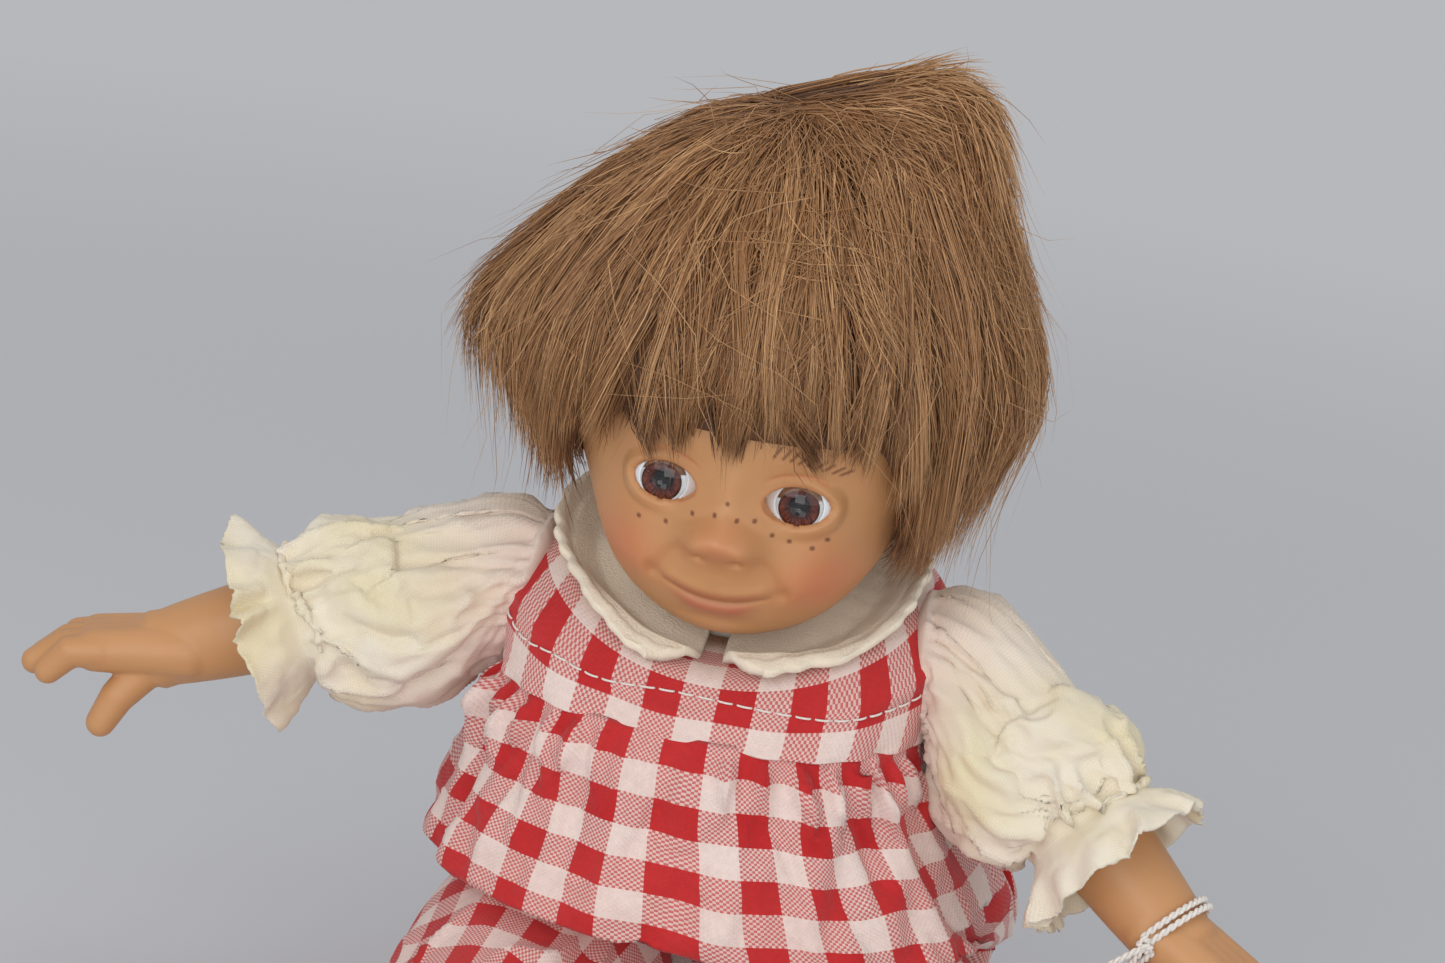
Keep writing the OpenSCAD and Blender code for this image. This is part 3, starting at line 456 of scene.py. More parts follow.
def brushedFlannel():
    # flannelette: cotton brushed until its weave is hidden under a short nap
    material, tree, shader = newMaterial(
        "brushedCottonFlannel", Roughness=0.95, Sheen_Weight=0.35, Sheen_Roughness=0.6,
        Specular_IOR_Level=0.1)
    place = add(tree, "TexCoord", {}, out=3)
    # 0.55 mm tufts of nap
    nap = add(tree, "TexNoise", {"Vector": place, "Scale": 1800, "Detail": 4, "Roughness": 0.7})
    cloud = add(tree, "TexNoise", {"Vector": place, "Scale": 70, "Detail": 3})  # 14 mm clouds of handling
    cloth = add(tree, "Mix", {0: cloud, 6: "#FFF5E0", 7: "#F8E8CC"}, out=2, data_type="RGBA")
    shade = add(tree, "MapRange", {"Value": nap, "To Min": 0.9, "To Max": 1.08})
    cloth = add(tree, "Mix", {0: 1.0, 6: cloth, 7: shade}, out=2, data_type="RGBA", blend_type="MULTIPLY")
    tree.links.new(cloth, shader["Base Color"])
    relief = add(tree, "Bump", {"Strength": 0.8, "Distance": 0.0005, "Height": nap})
    tree.links.new(relief, shader["Normal"])
    return material


def twistedCotton(name, colour, shadow, pitch):
    # spun cotton: a dull yarn whose loose fibres show as fuzz, in tufts of pitch millimetres
    material, tree, shader = newMaterial(name, Roughness=0.9, Sheen_Weight=0.2, Specular_IOR_Level=0.15)
    place = add(tree, "TexCoord", {}, out=3)
    fuzz = add(tree, "TexNoise", {"Vector": place, "Scale": 1000 / pitch, "Detail": 3})
    cloth = add(tree, "Mix", {0: fuzz, 6: shadow, 7: colour}, out=2, data_type="RGBA")
    tree.links.new(cloth, shader["Base Color"])
    relief = add(tree, "Bump", {"Strength": 0.5, "Distance": 0.0002, "Height": fuzz})
    tree.links.new(relief, shader["Normal"])
    return material


def speckled(name, colour, other, scale, rough, bumpDepth, **sockets):
    # a moulded, stamped, braided or carded surface: two close tones in grains of scale millimetres,
    # which are also its bump and change its shine a little
    material, tree, shader = newMaterial(name, Roughness=rough, **sockets)
    place = add(tree, "TexCoord", {}, out=3)
    grain = add(tree, "TexNoise", {"Vector": place, "Scale": 1000 / scale, "Detail": 3})
    tone = add(tree, "Mix", {0: grain, 6: colour, 7: other}, out=2, data_type="RGBA")
    tree.links.new(tone, shader["Base Color"])
    shine = add(tree, "MapRange", {"Value": grain, "To Min": rough * 0.85, "To Max": min(1, rough * 1.15)})
    tree.links.new(shine, shader["Roughness"])
    relief = add(tree, "Bump", {"Strength": bumpDepth, "Distance": 0.0002, "Height": grain})
    tree.links.new(relief, shader["Normal"])
    return material


def printedIris():
    # iris printed on film: fine red-brown fibres that run out from a blue-black pupil to a dark ring.
    # The disc's UV holds the angle in turns and the radius from 0 to 1
    material, tree, shader = newMaterial("printedIrisFilm", Roughness=0.6, Specular_IOR_Level=0.05)
    axes = add(tree, "SeparateXYZ", {0: add(tree, "TexCoord", {}, out=2)}).node.outputs
    turn = add(tree, "Math", {0: axes[0], 1: 2 * math.pi * 1000}, operation="MULTIPLY")
    out = add(tree, "Math", {0: axes[1], 1: 1000.0}, operation="MULTIPLY")
    ring = add(tree, "CombineXYZ", {
        0: add(tree, "Math", {0: turn}, operation="SINE"),
        1: add(tree, "Math", {0: turn}, operation="COSINE"),
        2: add(tree, "Math", {0: out, 1: 0.35}, operation="MULTIPLY")})
    fibre = add(tree, "TexNoise", {"Vector": ring, "Scale": 9, "Detail": 4, "Roughness": 0.65})
    fibre = add(tree, "MapRange", {"Value": fibre, "From Min": 0.35, "From Max": 0.65})
    colour = add(tree, "Mix", {0: fibre, 6: "#2A0F0B", 7: "#A9533F"}, out=2, data_type="RGBA")
    # dark inner part, dark rim and pupil: each covers from one radius to another
    for low, high, cover in ((0.75, 0.35, "#2C1214"), (0.8, 0.97, "#0A0505"), (0.42, 0.36, "#030306")):
        amount = add(tree, "MapRange", {"Value": out, "From Min": low, "From Max": high})
        colour = add(tree, "Mix", {0: amount, 6: colour, 7: cover}, out=2, data_type="RGBA")
    tree.links.new(colour, shader["Base Color"])
    return material


vinyl = castVinyl()
hairFibre = nylonFibre()
ginghamCloth = wovenGingham()
# lawn: fine soft cotton of the sleeves, drawn at 0.42 mm a thread where real lawn has 0.25
creamLawn = plainWeave("wovenCottonLawn", "#EFE5D2", "#E9DCB8", 0.42, 0.3, tint="#E9D0C4")
bodyCotton = plainWeave("wovenBodyCotton", "#E0C6A4", "#D3B48E", 0.5, 0.35)
flannel = brushedFlannel()
wadding = speckled("cardedPolyesterWadding", "#F4F1EA", "#DDD8CD", 1.2, 0.95, 0.8)
elastic = speckled("braidedElasticWhite", "#ECE8DE", "#CFC8BA", 0.6, 0.8, 0.6)
tieCord = twistedCotton("twistedTieThread", "#EFEAE0", "#CFC6B4", 0.5)
stringCotton = twistedCotton("twoPlyCottonString", "#F6F3EE", "#D9CFC4", 0.35)
sewingThread = twistedCotton("whiteSewingThread", "#F7F2EC", "#DCCFC4", 0.25)
studMetal = speckled("stampedNickelStud", "#B9B7B2", "#9C9A95", 0.5, 0.32, 0.15, Metallic=1.0)
eyeWhite = speckled("mouldedAcrylicEyeWhite", "#EDF0F2", "#DDE4EA", 2.0, 0.16, 0.02, IOR=1.49)
irisFilm = printedIris()
# lens: clear cast acrylic, polished, so only a small highlight shows; a low IOR keeps the iris dark
eyeLens = newMaterial(
    "castAcrylicLens", Base_Color="#FFFFFF", Roughness=0.03, IOR=1.42, Transmission_Weight=1.0)[0]
print("materials made")

# The frame's own nodes that stay in sight or inside take these
for ending, finish in (
    ("cloth", bodyCotton), ("casing", bodyCotton), ("thigh_right", bodyCotton), ("thigh_left", bodyCotton),
    ("upper_arm_right", bodyCotton), ("upper_arm_left", bodyCotton),
    ("elastic_right", elastic), ("elastic_left", elastic),
    ("tie", tieCord), ("tie_right", tieCord), ("tie_left", tieCord), ("back_snaps", studMetal),
    ("stuffing", wadding), ("stuffing_right", wadding), ("stuffing_left", wadding),
):
    for name in cadNodes:
        if name.endswith(ending):
            for slot in cadNodes[name].material_slots:
                slot.material = finish


# Head: moulded vinyl

head = dict(
    columns=352, faceRows=196, crownRows=34, underRows=12,
    eyeHalfWidth=5.6, eyeHalfUp=3.5, eyeHalfDown=3.3, lid=0.9,
    mouthAt=-31.4, mouthCurl=2.7, mouthHalf=10.4,
    freckles=((638, 515), (665, 521), (692, 513), (714, 516), (728, 505), (737, 521), (754, 521), (772, 535),
              (789, 542), (813, 549), (827, 540)),
    brow=((778, 453), (847, 473)), browFar=((640, 434), (690, 430)),
)
lowEye, highEye = (np.array(v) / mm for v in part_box("eye_white_left"))
eyeRadius = (highEye[0] - lowEye[0]) / 2
eyeAt = np.array((highEye[0] - eyeRadius, highEye[1] - eyeRadius, highEye[2] - eyeRadius))


def headLocal(points):
    # points of the world in the skull's own frame
    return tilted(points - doll["skull"], np.zeros(3), -doll["headBow"])


eyeLocal = headLocal(eyeAt)


def ballRadius(d, at, size):
    # distance along directions d to an ellipsoid about a point near the origin
    at, size = np.array(at), np.array(size)
    p = (d ** 2 / size ** 2).sum(-1)
    q = (d * at / size ** 2).sum(-1)
    s = (at ** 2 / size ** 2).sum() - 1
    return (q + np.sqrt(q * q - p * s)) / p


def bareHead(a, b):
    # skull and jaw: two ellipsoids run together, at angle a from the front and height angle b
    d = np.stack((np.cos(b) * np.sin(a), -np.cos(b) * np.cos(a), np.sin(b)), -1)
    r = softMax(ballRadius(d, (0, 0, 0), (34, 36, 36)), ballRadius(d, (0, -8, -18), (25.5, 26.5, 25)), 5)
    return d * r[..., None]


def faceRelief(x, u):
    # how far the face stands forward of the bare head at sideways x and height u: a sum of bells and grooves
    ax = np.abs(x)
    mouth = head["mouthAt"] + head["mouthCurl"] * (ax / head["mouthHalf"]) ** 2
    inLips = smooth(-ax, -head["mouthHalf"] - 0.6, -head["mouthHalf"] + 3.0)
    relief = 5.9 * bump((x, 5.6), (u + 19.3, 3.9)) + 1.6 * bump((x, 3.8), (u + 11, 6.0))
    relief += 2.2 * bump((ax - 4.6, 2.4), (u + 20.4, 2.6))
    relief -= 1.7 * bump((ax - 3.2, 1.2), (u + 22.9, 0.8))
    relief -= 1.4 * bump((ax - 11.3, 7.5), (u + 11, 5.5))
    relief += 0.9 * bump((ax - 11, 8), (u + 3, 3.5))
    relief += 2.5 * bump((ax - 15.5, 6.0), (u + 25.5, 6.0)) + 1.2 * bump((x, 12), (u + 29, 5.5))
    # soft fold from the wing of the nose to the corner of the mouth
    fold = 6.6 + (-21.5 - u) * 0.62
    relief -= 0.8 * bump((ax - fold, 1.8)) * smooth(u, -31.0, -27.5) * smooth(-u, 20.0, 23.5)
    relief -= 0.75 * bump((u - mouth, 0.75)) * inLips
    relief += 0.55 * bump((u - mouth - 1.6, 1.3)) * inLips * (1 - 0.4 * bump((x, 1.6)))
    relief += 1.2 * bump((u - mouth + 2.0, 1.6)) * smooth(-ax, -9.0, -3.0)
    relief -= 0.8 * bump((ax - 11.4, 1.4), (u - mouth + 0.2, 1.6))
    relief += 0.8 * bump((ax - 13.4, 2.2), (u + 28.2, 3.0))
    relief -= 0.6 * bump((x, 7.5), (u + 36.4, 1.4))
    relief += 1.3 * bump((x, 7.5), (u + 40.5, 3.6))
    return relief


def headSurface():
    # rings from the crown to the chin with the face's relief, lids and ears, then the neck's rings
    s = np.linspace(-1, 1, head["columns"], endpoint=False)
    a = np.radians(180 * (0.36 * s + 0.64 * s ** 3))
    b = np.radians(np.concatenate((
        90 - 82 * np.linspace(0, 1, head["crownRows"], endpoint=False),
        np.linspace(8, -63, head["faceRows"]))))
    a, b = np.broadcast_arrays(a[None, :], b[:, None])
    p = bareHead(a, b)
    x, y, u = p[..., 0].copy(), p[..., 1].copy(), p[..., 2].copy()
    front = smooth(-np.abs(a), -1.45, -1.0)
    ex, ey, eu = eyeLocal
    dx, du = np.abs(x) - ex, u - eu
    wide, up, down = head["eyeHalfWidth"], head["eyeHalfUp"], head["eyeHalfDown"]
    tall = np.where(du > 0, up, down) * (1 - 0.12 * np.clip(dx / wide, -1.3, 1.3) ** 2)
    g = np.sqrt((dx / wide) ** 2 + (du / tall) ** 2) + (y > 0) * 9
    # points near the lid's edge slide onto it, so that the edge is a clean curve
    near = (np.abs(g - 1) < 0.06)
    k = np.where(near, 1 / g, 1.0)
    x = np.where(near, np.sign(x) * (ex + dx * k), x)
    u = np.where(near, eu + du * k, u)
    dx, du = np.abs(x) - ex, u - eu
    inside = g < 1
    forward = -y + faceRelief(x, u) * front
    # lids lie on a ball a little larger than the eye and roll in at the edge
    lid = eyeRadius + 0.25 + head["lid"] * smooth(g, 0.98, 1.3)
    ball = -ey + np.sqrt(np.maximum(0, lid ** 2 - dx ** 2 - du ** 2))
    reach = (dx ** 2 + du ** 2 < lid ** 2) & (y < 0)
    upperCrease = 0.3 * bump((g - 1.62, 0.12)) * smooth(du, 1.0, 3.0) * smooth(-np.abs(dx), -6.5, -3.5)
    bag = (0.16 * bump((g - 1.95, 0.24)) - 0.12 * bump((g - 1.5, 0.25))) * smooth(-du, 1.5, 3.5)
    forward = np.where(reach, softMax(forward, ball, 1.3), forward) - upperCrease - bag
    hole = -ey + np.sqrt(np.maximum(0, (eyeRadius - 2.6) ** 2 - dx ** 2 - du ** 2))
    forward = np.where(inside & (y < 0), hole, forward)
    # ears: low rounded bumps with a dished middle, mostly under the hair
    ear = 3.0 * bump((np.abs(a) - 1.62, 0.17), (b + 0.3, 0.26))
    ear = ear - 1.6 * bump((np.abs(a) - 1.58, 0.08), (b + 0.3, 0.14))
    x = x + np.sign(x) * ear
    skin = tilted(np.stack((x, -forward, u), -1), doll["skull"], doll["headBow"])
    # neck: rings about the neck's own tilted axis, down to the flange that the cloth is tied on
    angle = a[0]
    rings = np.array((
        (12.5, -4.5), (12.5, -7), (12.5, -9), (11, -9.05), (11, -13),
        (15, -13.05), (15, -16), (9, -16.05), (0, -16.1)))
    r, z = rings[:, :1], rings[:, 1:]
    neck = np.stack(np.broadcast_arrays(r * np.sin(angle), -r * np.cos(angle), z), -1)
    neck = tilted(neck, doll["neck"], doll["neckTilt"])
    t = smooth(np.linspace(0, 1, head["underRows"])[1:-1])[:, None, None]
    return np.concatenate((skin, mix(skin[-1], neck[0], t), neck)), x, u, y, g, du


def paintHead(points, x, u, y, g, du):
    # red: blush and lid lines; green: lips; blue: freckles, brow strokes and a dark line along the mouth
    rows = x.shape[0]
    ax = np.abs(x)
    mouth = head["mouthAt"] + head["mouthCurl"] * (ax / head["mouthHalf"]) ** 2
    seen = y < 0
    red = 0.75 * bump((ax - 17.5, 6), (u + 25.5, 6)) + 0.35 * bump((x, 5), (u + 19, 4))
    overEye = smooth(du, 1.0, 3.0) * smooth(-np.abs(ax - eyeLocal[0]), -6.5, -3.5)
    red += 0.45 * bump((g - 1.6, 0.1)) * overEye + 0.3 * bump((g - 1.06, 0.05)) * (g > 1)
    lips = bump((u - mouth + 1.7, 1.5)) * smooth(-ax, -9.0, -4.0)
    lips += 0.6 * bump((u - mouth - 1.0, 0.9)) * smooth(-ax, -10, -6)
    # a dark line along the closed mouth, fading out at its corners
    dark = 0.3 * bump((u - mouth, 0.35)) * smooth(-ax, -head["mouthHalf"], -8.5)
    pixels = toPhoto(points[:rows])

    def nearest(at):
        # the face point that shows at a pixel of the photograph
        gap = np.hypot(*(pixels - np.array(at)).transpose(2, 0, 1)) + 1e4 * ~seen
        k = np.unravel_index(gap.argmin(), gap.shape)
        return x[k], u[k]
    for at in head["freckles"]:
        fx, fu = nearest(at)
        dot = np.hypot(x - fx, u - fu)
        dark = np.maximum(dark, 0.85 * smooth(-dot, -0.52, -0.26))
    for (start, end), count in ((head["brow"], 9), (head["browFar"], 7)):
        for t in np.linspace(0, 1, count):
            bx, bu = nearest(mix(np.array(start), np.array(end), t))
            lean = math.radians(mix(62, 28, t)) if start[0] > 730 else math.radians(mix(152, 118, t))
            along = (x - bx) * math.cos(lean) + (u - bu) * math.sin(lean)
            across = -(x - bx) * math.sin(lean) + (u - bu) * math.cos(lean)
            stroke = smooth(-np.abs(across), -0.36, -0.12) * smooth(-np.abs(along), -1.5, -0.9)
            dark = np.maximum(dark, 0.8 * stroke)
    paint = np.zeros(points.shape[:2] + (3,))
    paint[:rows] = np.clip(np.stack((red, lips, dark), -1), 0, 1) * seen[..., None]
    return paint


def makeHead():
    # the skin of head and neck as one closed casting, with its paint on the points
    points, *local = headSurface()
    piece = gridMesh("headCasting", points, vinyl, closeV=True, paint=paintHead(points, *local))
    weld(piece)
    fitted(piece, "head", "head_shell")


makeHead()
print("head made")


# Eyes: white shell with a flat seat, printed iris disc, clear dome

eyes = dict(irisRadius=4.0, irisSeat=5.04, irisThick=0.5, splay=4.0, rings=40, sides=64)


def eyePoints(side, profile):
    # a profile of (radius, height) turned about the eye's own axis, which looks out of the face
    a = np.linspace(0, 2 * math.pi, eyes["sides"], endpoint=False)
    r, z = (profile[:, k, None] for k in (0, 1))
    local = np.stack(np.broadcast_arrays(r * np.cos(a), -z, r * np.sin(a)), -1)
    turn = side * math.radians(eyes["splay"])
    c, s = math.cos(turn), math.sin(turn)
    x, y, z = np.moveaxis(local, -1, 0)
    local = np.stack((x * c - y * s, x * s + y * c, z), -1)
    middle = np.array((side * eyeLocal[0], eyeLocal[1], eyeLocal[2]))
    return tilted(local + middle, doll["skull"], doll["headBow"])


def makeEyes():
    # profiles of the three parts of an eye, turned about its axis
    r, seat, iris = eyeRadius, eyes["irisSeat"], eyes["irisRadius"]
    t = np.linspace(math.asin((iris + 0.05) / r), math.pi, eyes["rings"])
    shell = np.stack((r * np.sin(t), r * np.cos(t)), -1)
    white = np.concatenate((((0, seat), (iris * 0.5, seat), (iris + 0.05, seat)), shell))
    d = np.linspace(0, 1, 24)
    top = seat + eyes["irisThick"]
    # the disc is dished a little towards the pupil
    disc = np.stack((iris * d, np.full(24, top) - 0.25 * (1 - d) ** 2), -1)
    disc = np.concatenate((disc, ((iris, seat + 0.02), (0, seat + 0.02))))
    t = np.linspace(0, math.asin(iris / r), 20)
    dome = np.stack((r * np.sin(t), r * np.cos(t)), -1)
    dome = np.concatenate((dome, ((iris, top + 0.05), (0, top + 0.05))))
    turns = np.linspace(0, 1, eyes["sides"] + 1)
    for side, word in ((-1, "Right"), (1, "Left")):
        for name, profile, finish, slot in (
            ("eyeWhite", white, eyeWhite, "eye_white"), ("iris", disc, irisFilm, "iris"),
            ("eyeLens", dome, eyeLens, "eye_lens"),
        ):
            uv = np.stack(np.broadcast_arrays(turns[None, :], (profile[:, 0] / iris)[:, None]), -1)
            piece = weld(gridMesh(name + word, eyePoints(side, profile), finish, closeV=True, uv=uv))
            fitted(piece, "head", slot + "_" + word.lower())


makeEyes()
print("eyes made")


# Hair: rooted nylon, combed out from a whorl and cut to a short bob with a fringe

hair = dict(
    seed=5, whorl=(-0.03, 0.06), locks=190, clumps=54, radius=0.15, points=7, crown=4700, stray=700,
    regions=(("hairFringe", -50, 50, 5400), ("hairRight", -128, -46, 5200), ("hairLeft", 46, 128, 5200),
             ("hairBack", 120, 240, 4800)),
)


def hairLow(a):
    # how far below the skull's middle the hair is cut, at angle a in degrees from the front
    return mix(2, 24, smooth(np.abs(a), 38, np.where(a > 0, 66, 80))) - 4 * smooth(np.abs(a), 105, 150)


def hairOuter(a, s):
    # over the crown as a quarter ellipse and then down: s runs from the top, 0, to the cut edge, 1.
    # The crown lifts, a tuft stands up on the left, the ends flare on the right, the sides taper to the neck
    rad = np.radians(a)
    deep = np.where(np.abs(a) < 90, 41.5, 45.0)
    wide = 1 / np.sqrt((np.sin(rad) / 46) ** 2 + (np.cos(rad) / deep) ** 2)
    turn = s * (90 + hairLow(a) * 1.2)
    tuft = 9.5 * bump((a - 100, 65), (turn - 28, 18))
    flare = 4 * bump((a + 82, 36), (turn - 88, 20))
    taper = np.where(a > 0, 7, 4.2) * smooth(turn, 84, 118) * smooth(np.abs(a), 45, 75)
    w = wide * np.sin(np.radians(np.clip(turn, 0, 90))) + 0.4 * tuft + flare - taper
    z = np.where(turn < 90, 45.5 * np.cos(np.radians(np.minimum(turn, 90))), (90 - turn) / 1.2)
    return np.stack((w * np.sin(rad), -w * np.cos(rad), z + tuft + 5 * bump((turn, 34))), -1)


def hairInner(a, s):
    # the scalp under hairOuter
    rad = np.radians(a)
    low = -np.arctan2(hairLow(a), 36.0)
    p = bareHead(rad, mix(math.pi / 2, low, s))
    return p * (1 + 0.6 / np.linalg.norm(p, axis=-1, keepdims=True))


def strands(r, tips, roots, height, rise, lockOf, spread, flick):
    # each strand runs from its root to its tip on a disc map of the scalp, whose middle is the crown,
    # with its lock's bend, and climbs from its own rise to its own height between scalp, 0, and outer hair, 1
    count = len(tips)
    t = np.linspace(0, 1, hair["points"])[None, :, None]
    bend = lockOf[:, 0, None] * np.sin(math.pi * t[..., 0]) + lockOf[:, 1, None] * t[..., 0] ** 2
    bend = bend + 0.3 * lockOf[:, 0, None] * np.sin(3 * math.pi * t[..., 0] + 40 * lockOf[:, 1, None])
    ahead = tips - roots
    square = np.stack((-ahead[:, 1], ahead[:, 0]), -1)
    q = roots[:, None] + ahead[:, None] * t + square[:, None] * bend[..., None]
    q = q + r.normal(0, spread, (count, 1, 2)) * t ** 1.5 + r.normal(0, 0.003, q.shape)
    s = np.linalg.norm(q, axis=-1)
    a = np.degrees(np.arctan2(q[..., 0], q[..., 1]))
    climb = rise[:, None] + (1 - rise[:, None]) * smooth(t[..., 0], -0.05, 0.38)
    lift = lockOf[:, 2, None] + flick[:, None] * smooth(t[..., 0], 0.5, 1.0)
    f = height[:, None] * climb + lift * t[..., 0] ** 2
    inner, outer = hairInner(a, s), hairOuter(a, s)
    return inner + (outer - inner) * f[..., None], t[0, :, 0], f


def strandMesh(name, path, t, f, tone, r, thin=1.0):
    # three-sided fibres that narrow to the tip; the tone takes painted shade, darker at the root and in the
    # lower layers, and is a little lighter towards the tip
    count, k = path.shape[:2]
    step = np.gradient(path, axis=1)
    step /= np.linalg.norm(step, axis=-1, keepdims=True) + 1e-9
    side = np.cross(step, path + np.array((0, 0, 12.0)))
    side /= np.linalg.norm(side, axis=-1, keepdims=True) + 1e-9
    up = np.cross(side, step)
    spin = r.uniform(0, 2, count)[:, None, None]
    size = hair["radius"] * thin * r.uniform(0.7, 1.35, count)[:, None] * (1 - 0.92 * t ** 4)
    size = size[..., None]
    corners = [path + size * (np.cos(spin + c) * side + np.sin(spin + c) * up) for c in (0, 2.094, 4.189)]
    points = tilted(np.stack(corners, 2), doll["skull"], doll["headBow"])
    # painted shade: darker near the scalp and in the layers under the outer hair; then a little lighter
    # towards the ends
    shade = tone[:, None] - 0.3 * (1 - smooth(t, 0, 0.3)) - 0.35 * (1 - smooth(f, 0.15, 0.8))
    shade = shade + 0.1 * smooth(t, 0.6, 1.0)
    paint = np.repeat(np.clip(shade, 0.02, 1)[:, :, None], 3, 2)
    ci, cj = gridFaces(k, 3, closeV=True)
    one = ci * 3 + cj % 3
    faces = (np.arange(count)[:, None, None] * k * 3 + one[None]).reshape(-1, 4)
    piece = rawMesh(name, points.reshape(-1, 3), faces, hairFibre, paint=paint.reshape(-1, 1))
    fitted(piece, "head")


def makeHair():
    # strands by region, then the crown's tuft, loose strays and the mat that they are rooted in
    r = np.random.default_rng(hair["seed"])
    whorl = np.array(hair["whorl"])
    lockAt = np.sort(r.uniform(-180, 240, hair["locks"]))
    lockLook = r.normal(0, 1, (hair["locks"], 5)) * np.array((0.075, 0.085, 0.15, 0.13, 0.042))

    def onDisc(angle, s):
        # the disc map of the scalp: angle from the front, and distance from the crown
        return s[:, None] * np.stack((np.sin(np.radians(angle)), np.cos(np.radians(angle))), -1)

    for name, low, high, count in hair["regions"]:
        angle = r.uniform(low, high, count)
        lock = np.abs(angle[:, None] - lockAt[None]).argmin(1)
        look = lockLook[lock]
        start = r.beta(1.0, 1.15, count) * 0.9
        height = np.clip(1.0 - 0.9 * start + r.normal(0, 0.06, count), 0.06, 1.04)
        top = smooth(height, 0.4, 0.95)
        # a layered cut: strands from near the whorl lie on top and end sooner, most at the sides
        cut = mix(0.05, np.where(angle < 0, 0.27, 0.22), smooth(np.abs(angle), 40, 75))
        cut = cut * top * r.uniform(0.5, 1.1, count)
        tipS = 0.985 - cut - 0.045 * bump((angle - 14, 16)) + look[:, 4] + r.normal(0, 0.03, count)
        tipS = tipS - 0.15 * (r.random(count) < 0.15) * r.random(count)
        tips = onDisc(mix(angle, lockAt[lock], r.uniform(0.1, 0.6, count)), tipS)
        roots = whorl + (onDisc(angle + r.normal(0, 3, count), np.ones(count)) - whorl) * start[:, None]
        roots += r.normal(0, 0.02, (count, 2))
        rise = 0.9 * (1 - smooth(start, 0.02, 0.3))
        # ends turn out at the sides, most on the doll's right, and the fringe lies in to the brow
        flick = (0.3 * bump((angle + 88, 34)) + 0.12 * bump((angle - 95, 40))) * top
        flick = flick - 0.12 * bump((angle, 38))
        path, t, f = strands(r, tips, roots, height, rise, look[:, :3], 0.014, flick)
        strandMesh(name, path, t, f, 0.52 + look[:, 3] + r.normal(0, 0.13, count), r)
    # crown: tousled clumps swept over from the whorl to the left and up, as if slept on
    n = hair["crown"]
    shape = r.normal(0, 1, (hair["clumps"], 9))[r.integers(0, hair["clumps"], n)]
    fine = r.normal(0, 1, (n, 6))
    start = whorl + np.array((0.0, -0.07)) + shape[:, :2] * 0.085 + fine[:, :2] * 0.02
    end = np.array((0.4, -0.03)) + shape[:, 2:4] * np.array((0.12, 0.2)) + fine[:, 2:4] * 0.03
    bend = 0.28 * shape[:, 4] + 0.04 * fine[:, 4] - 0.05
    look = np.stack((bend, 0.24 * shape[:, 5], 0.04 + 0.12 * shape[:, 6]), -1)
    high = np.clip(0.95 + 0.13 * shape[:, 7] + 0.06 * fine[:, 5], 0.6, 1.2)
    path, t, f = strands(r, end, start, high, np.full(n, 0.75), look, 0.03, 0.05 + 0.12 * shape[:, 8])
    # clumps that lift higher are painted lighter and lower ones darker: painted light and shade on the tuft
    strandMesh("hairTuft", path, t, f, 0.55 + 0.1 * shape[:, 6] + r.normal(0, 0.13, n), r)
    n = hair["stray"]
    angle = r.uniform(-180, 180, n)
    tips = onDisc(angle, r.uniform(0.3, 1.03, n))
    roots = whorl + (tips - whorl) * r.uniform(0.0, 0.6, n)[:, None] + r.normal(0, 0.04, (n, 2))
    look = np.stack((r.normal(0, 0.28, n), r.normal(0, 0.3, n), r.normal(0.2, 0.26, n)), -1)
    flick = r.normal(0.1, 0.12, n)
    path, t, f = strands(r, tips, roots, np.full(n, 1.05), np.full(n, 0.9), look, 0.07, flick)
    strandMesh("hairStray", path, t, f, 0.65 + r.normal(0, 0.12, n), r, thin=0.5)
    # the rooted mat under the strands, painted a dark tone as painted shade in the depth of the hair
    a, s = np.linspace(-180, 180, 160, endpoint=False)[None, :], np.linspace(0, 0.98, 60)[:, None]
    a, s = np.broadcast_arrays(a, s)
    inner, outer = hairInner(a, s), hairOuter(a, s)
    mat = inner + (outer - inner) * (0.34 * (1 - smooth(s, 0.82, 1.0)))[..., None]
    mat = tilted(np.concatenate((mat, inner[::-1])), doll["skull"], doll["headBow"])
    cap = weld(gridMesh("hairMat", mat, hairFibre, closeV=True, paint=np.full(mat.shape[:2] + (1,), 0.1)))
    fitted(cap, "head", "rooted_hair")


makeHair()
print("hair made")


# Cloth: how a sewn piece settles

cloth = dict(larger=20.0, frames=26)


def thicken(piece, thick):
    # a cloth's thickness, inward from the face that shows
    solid = piece.modifiers.new("cloth", "SOLIDIFY")
    solid.thickness, solid.offset = thick * mm, -1


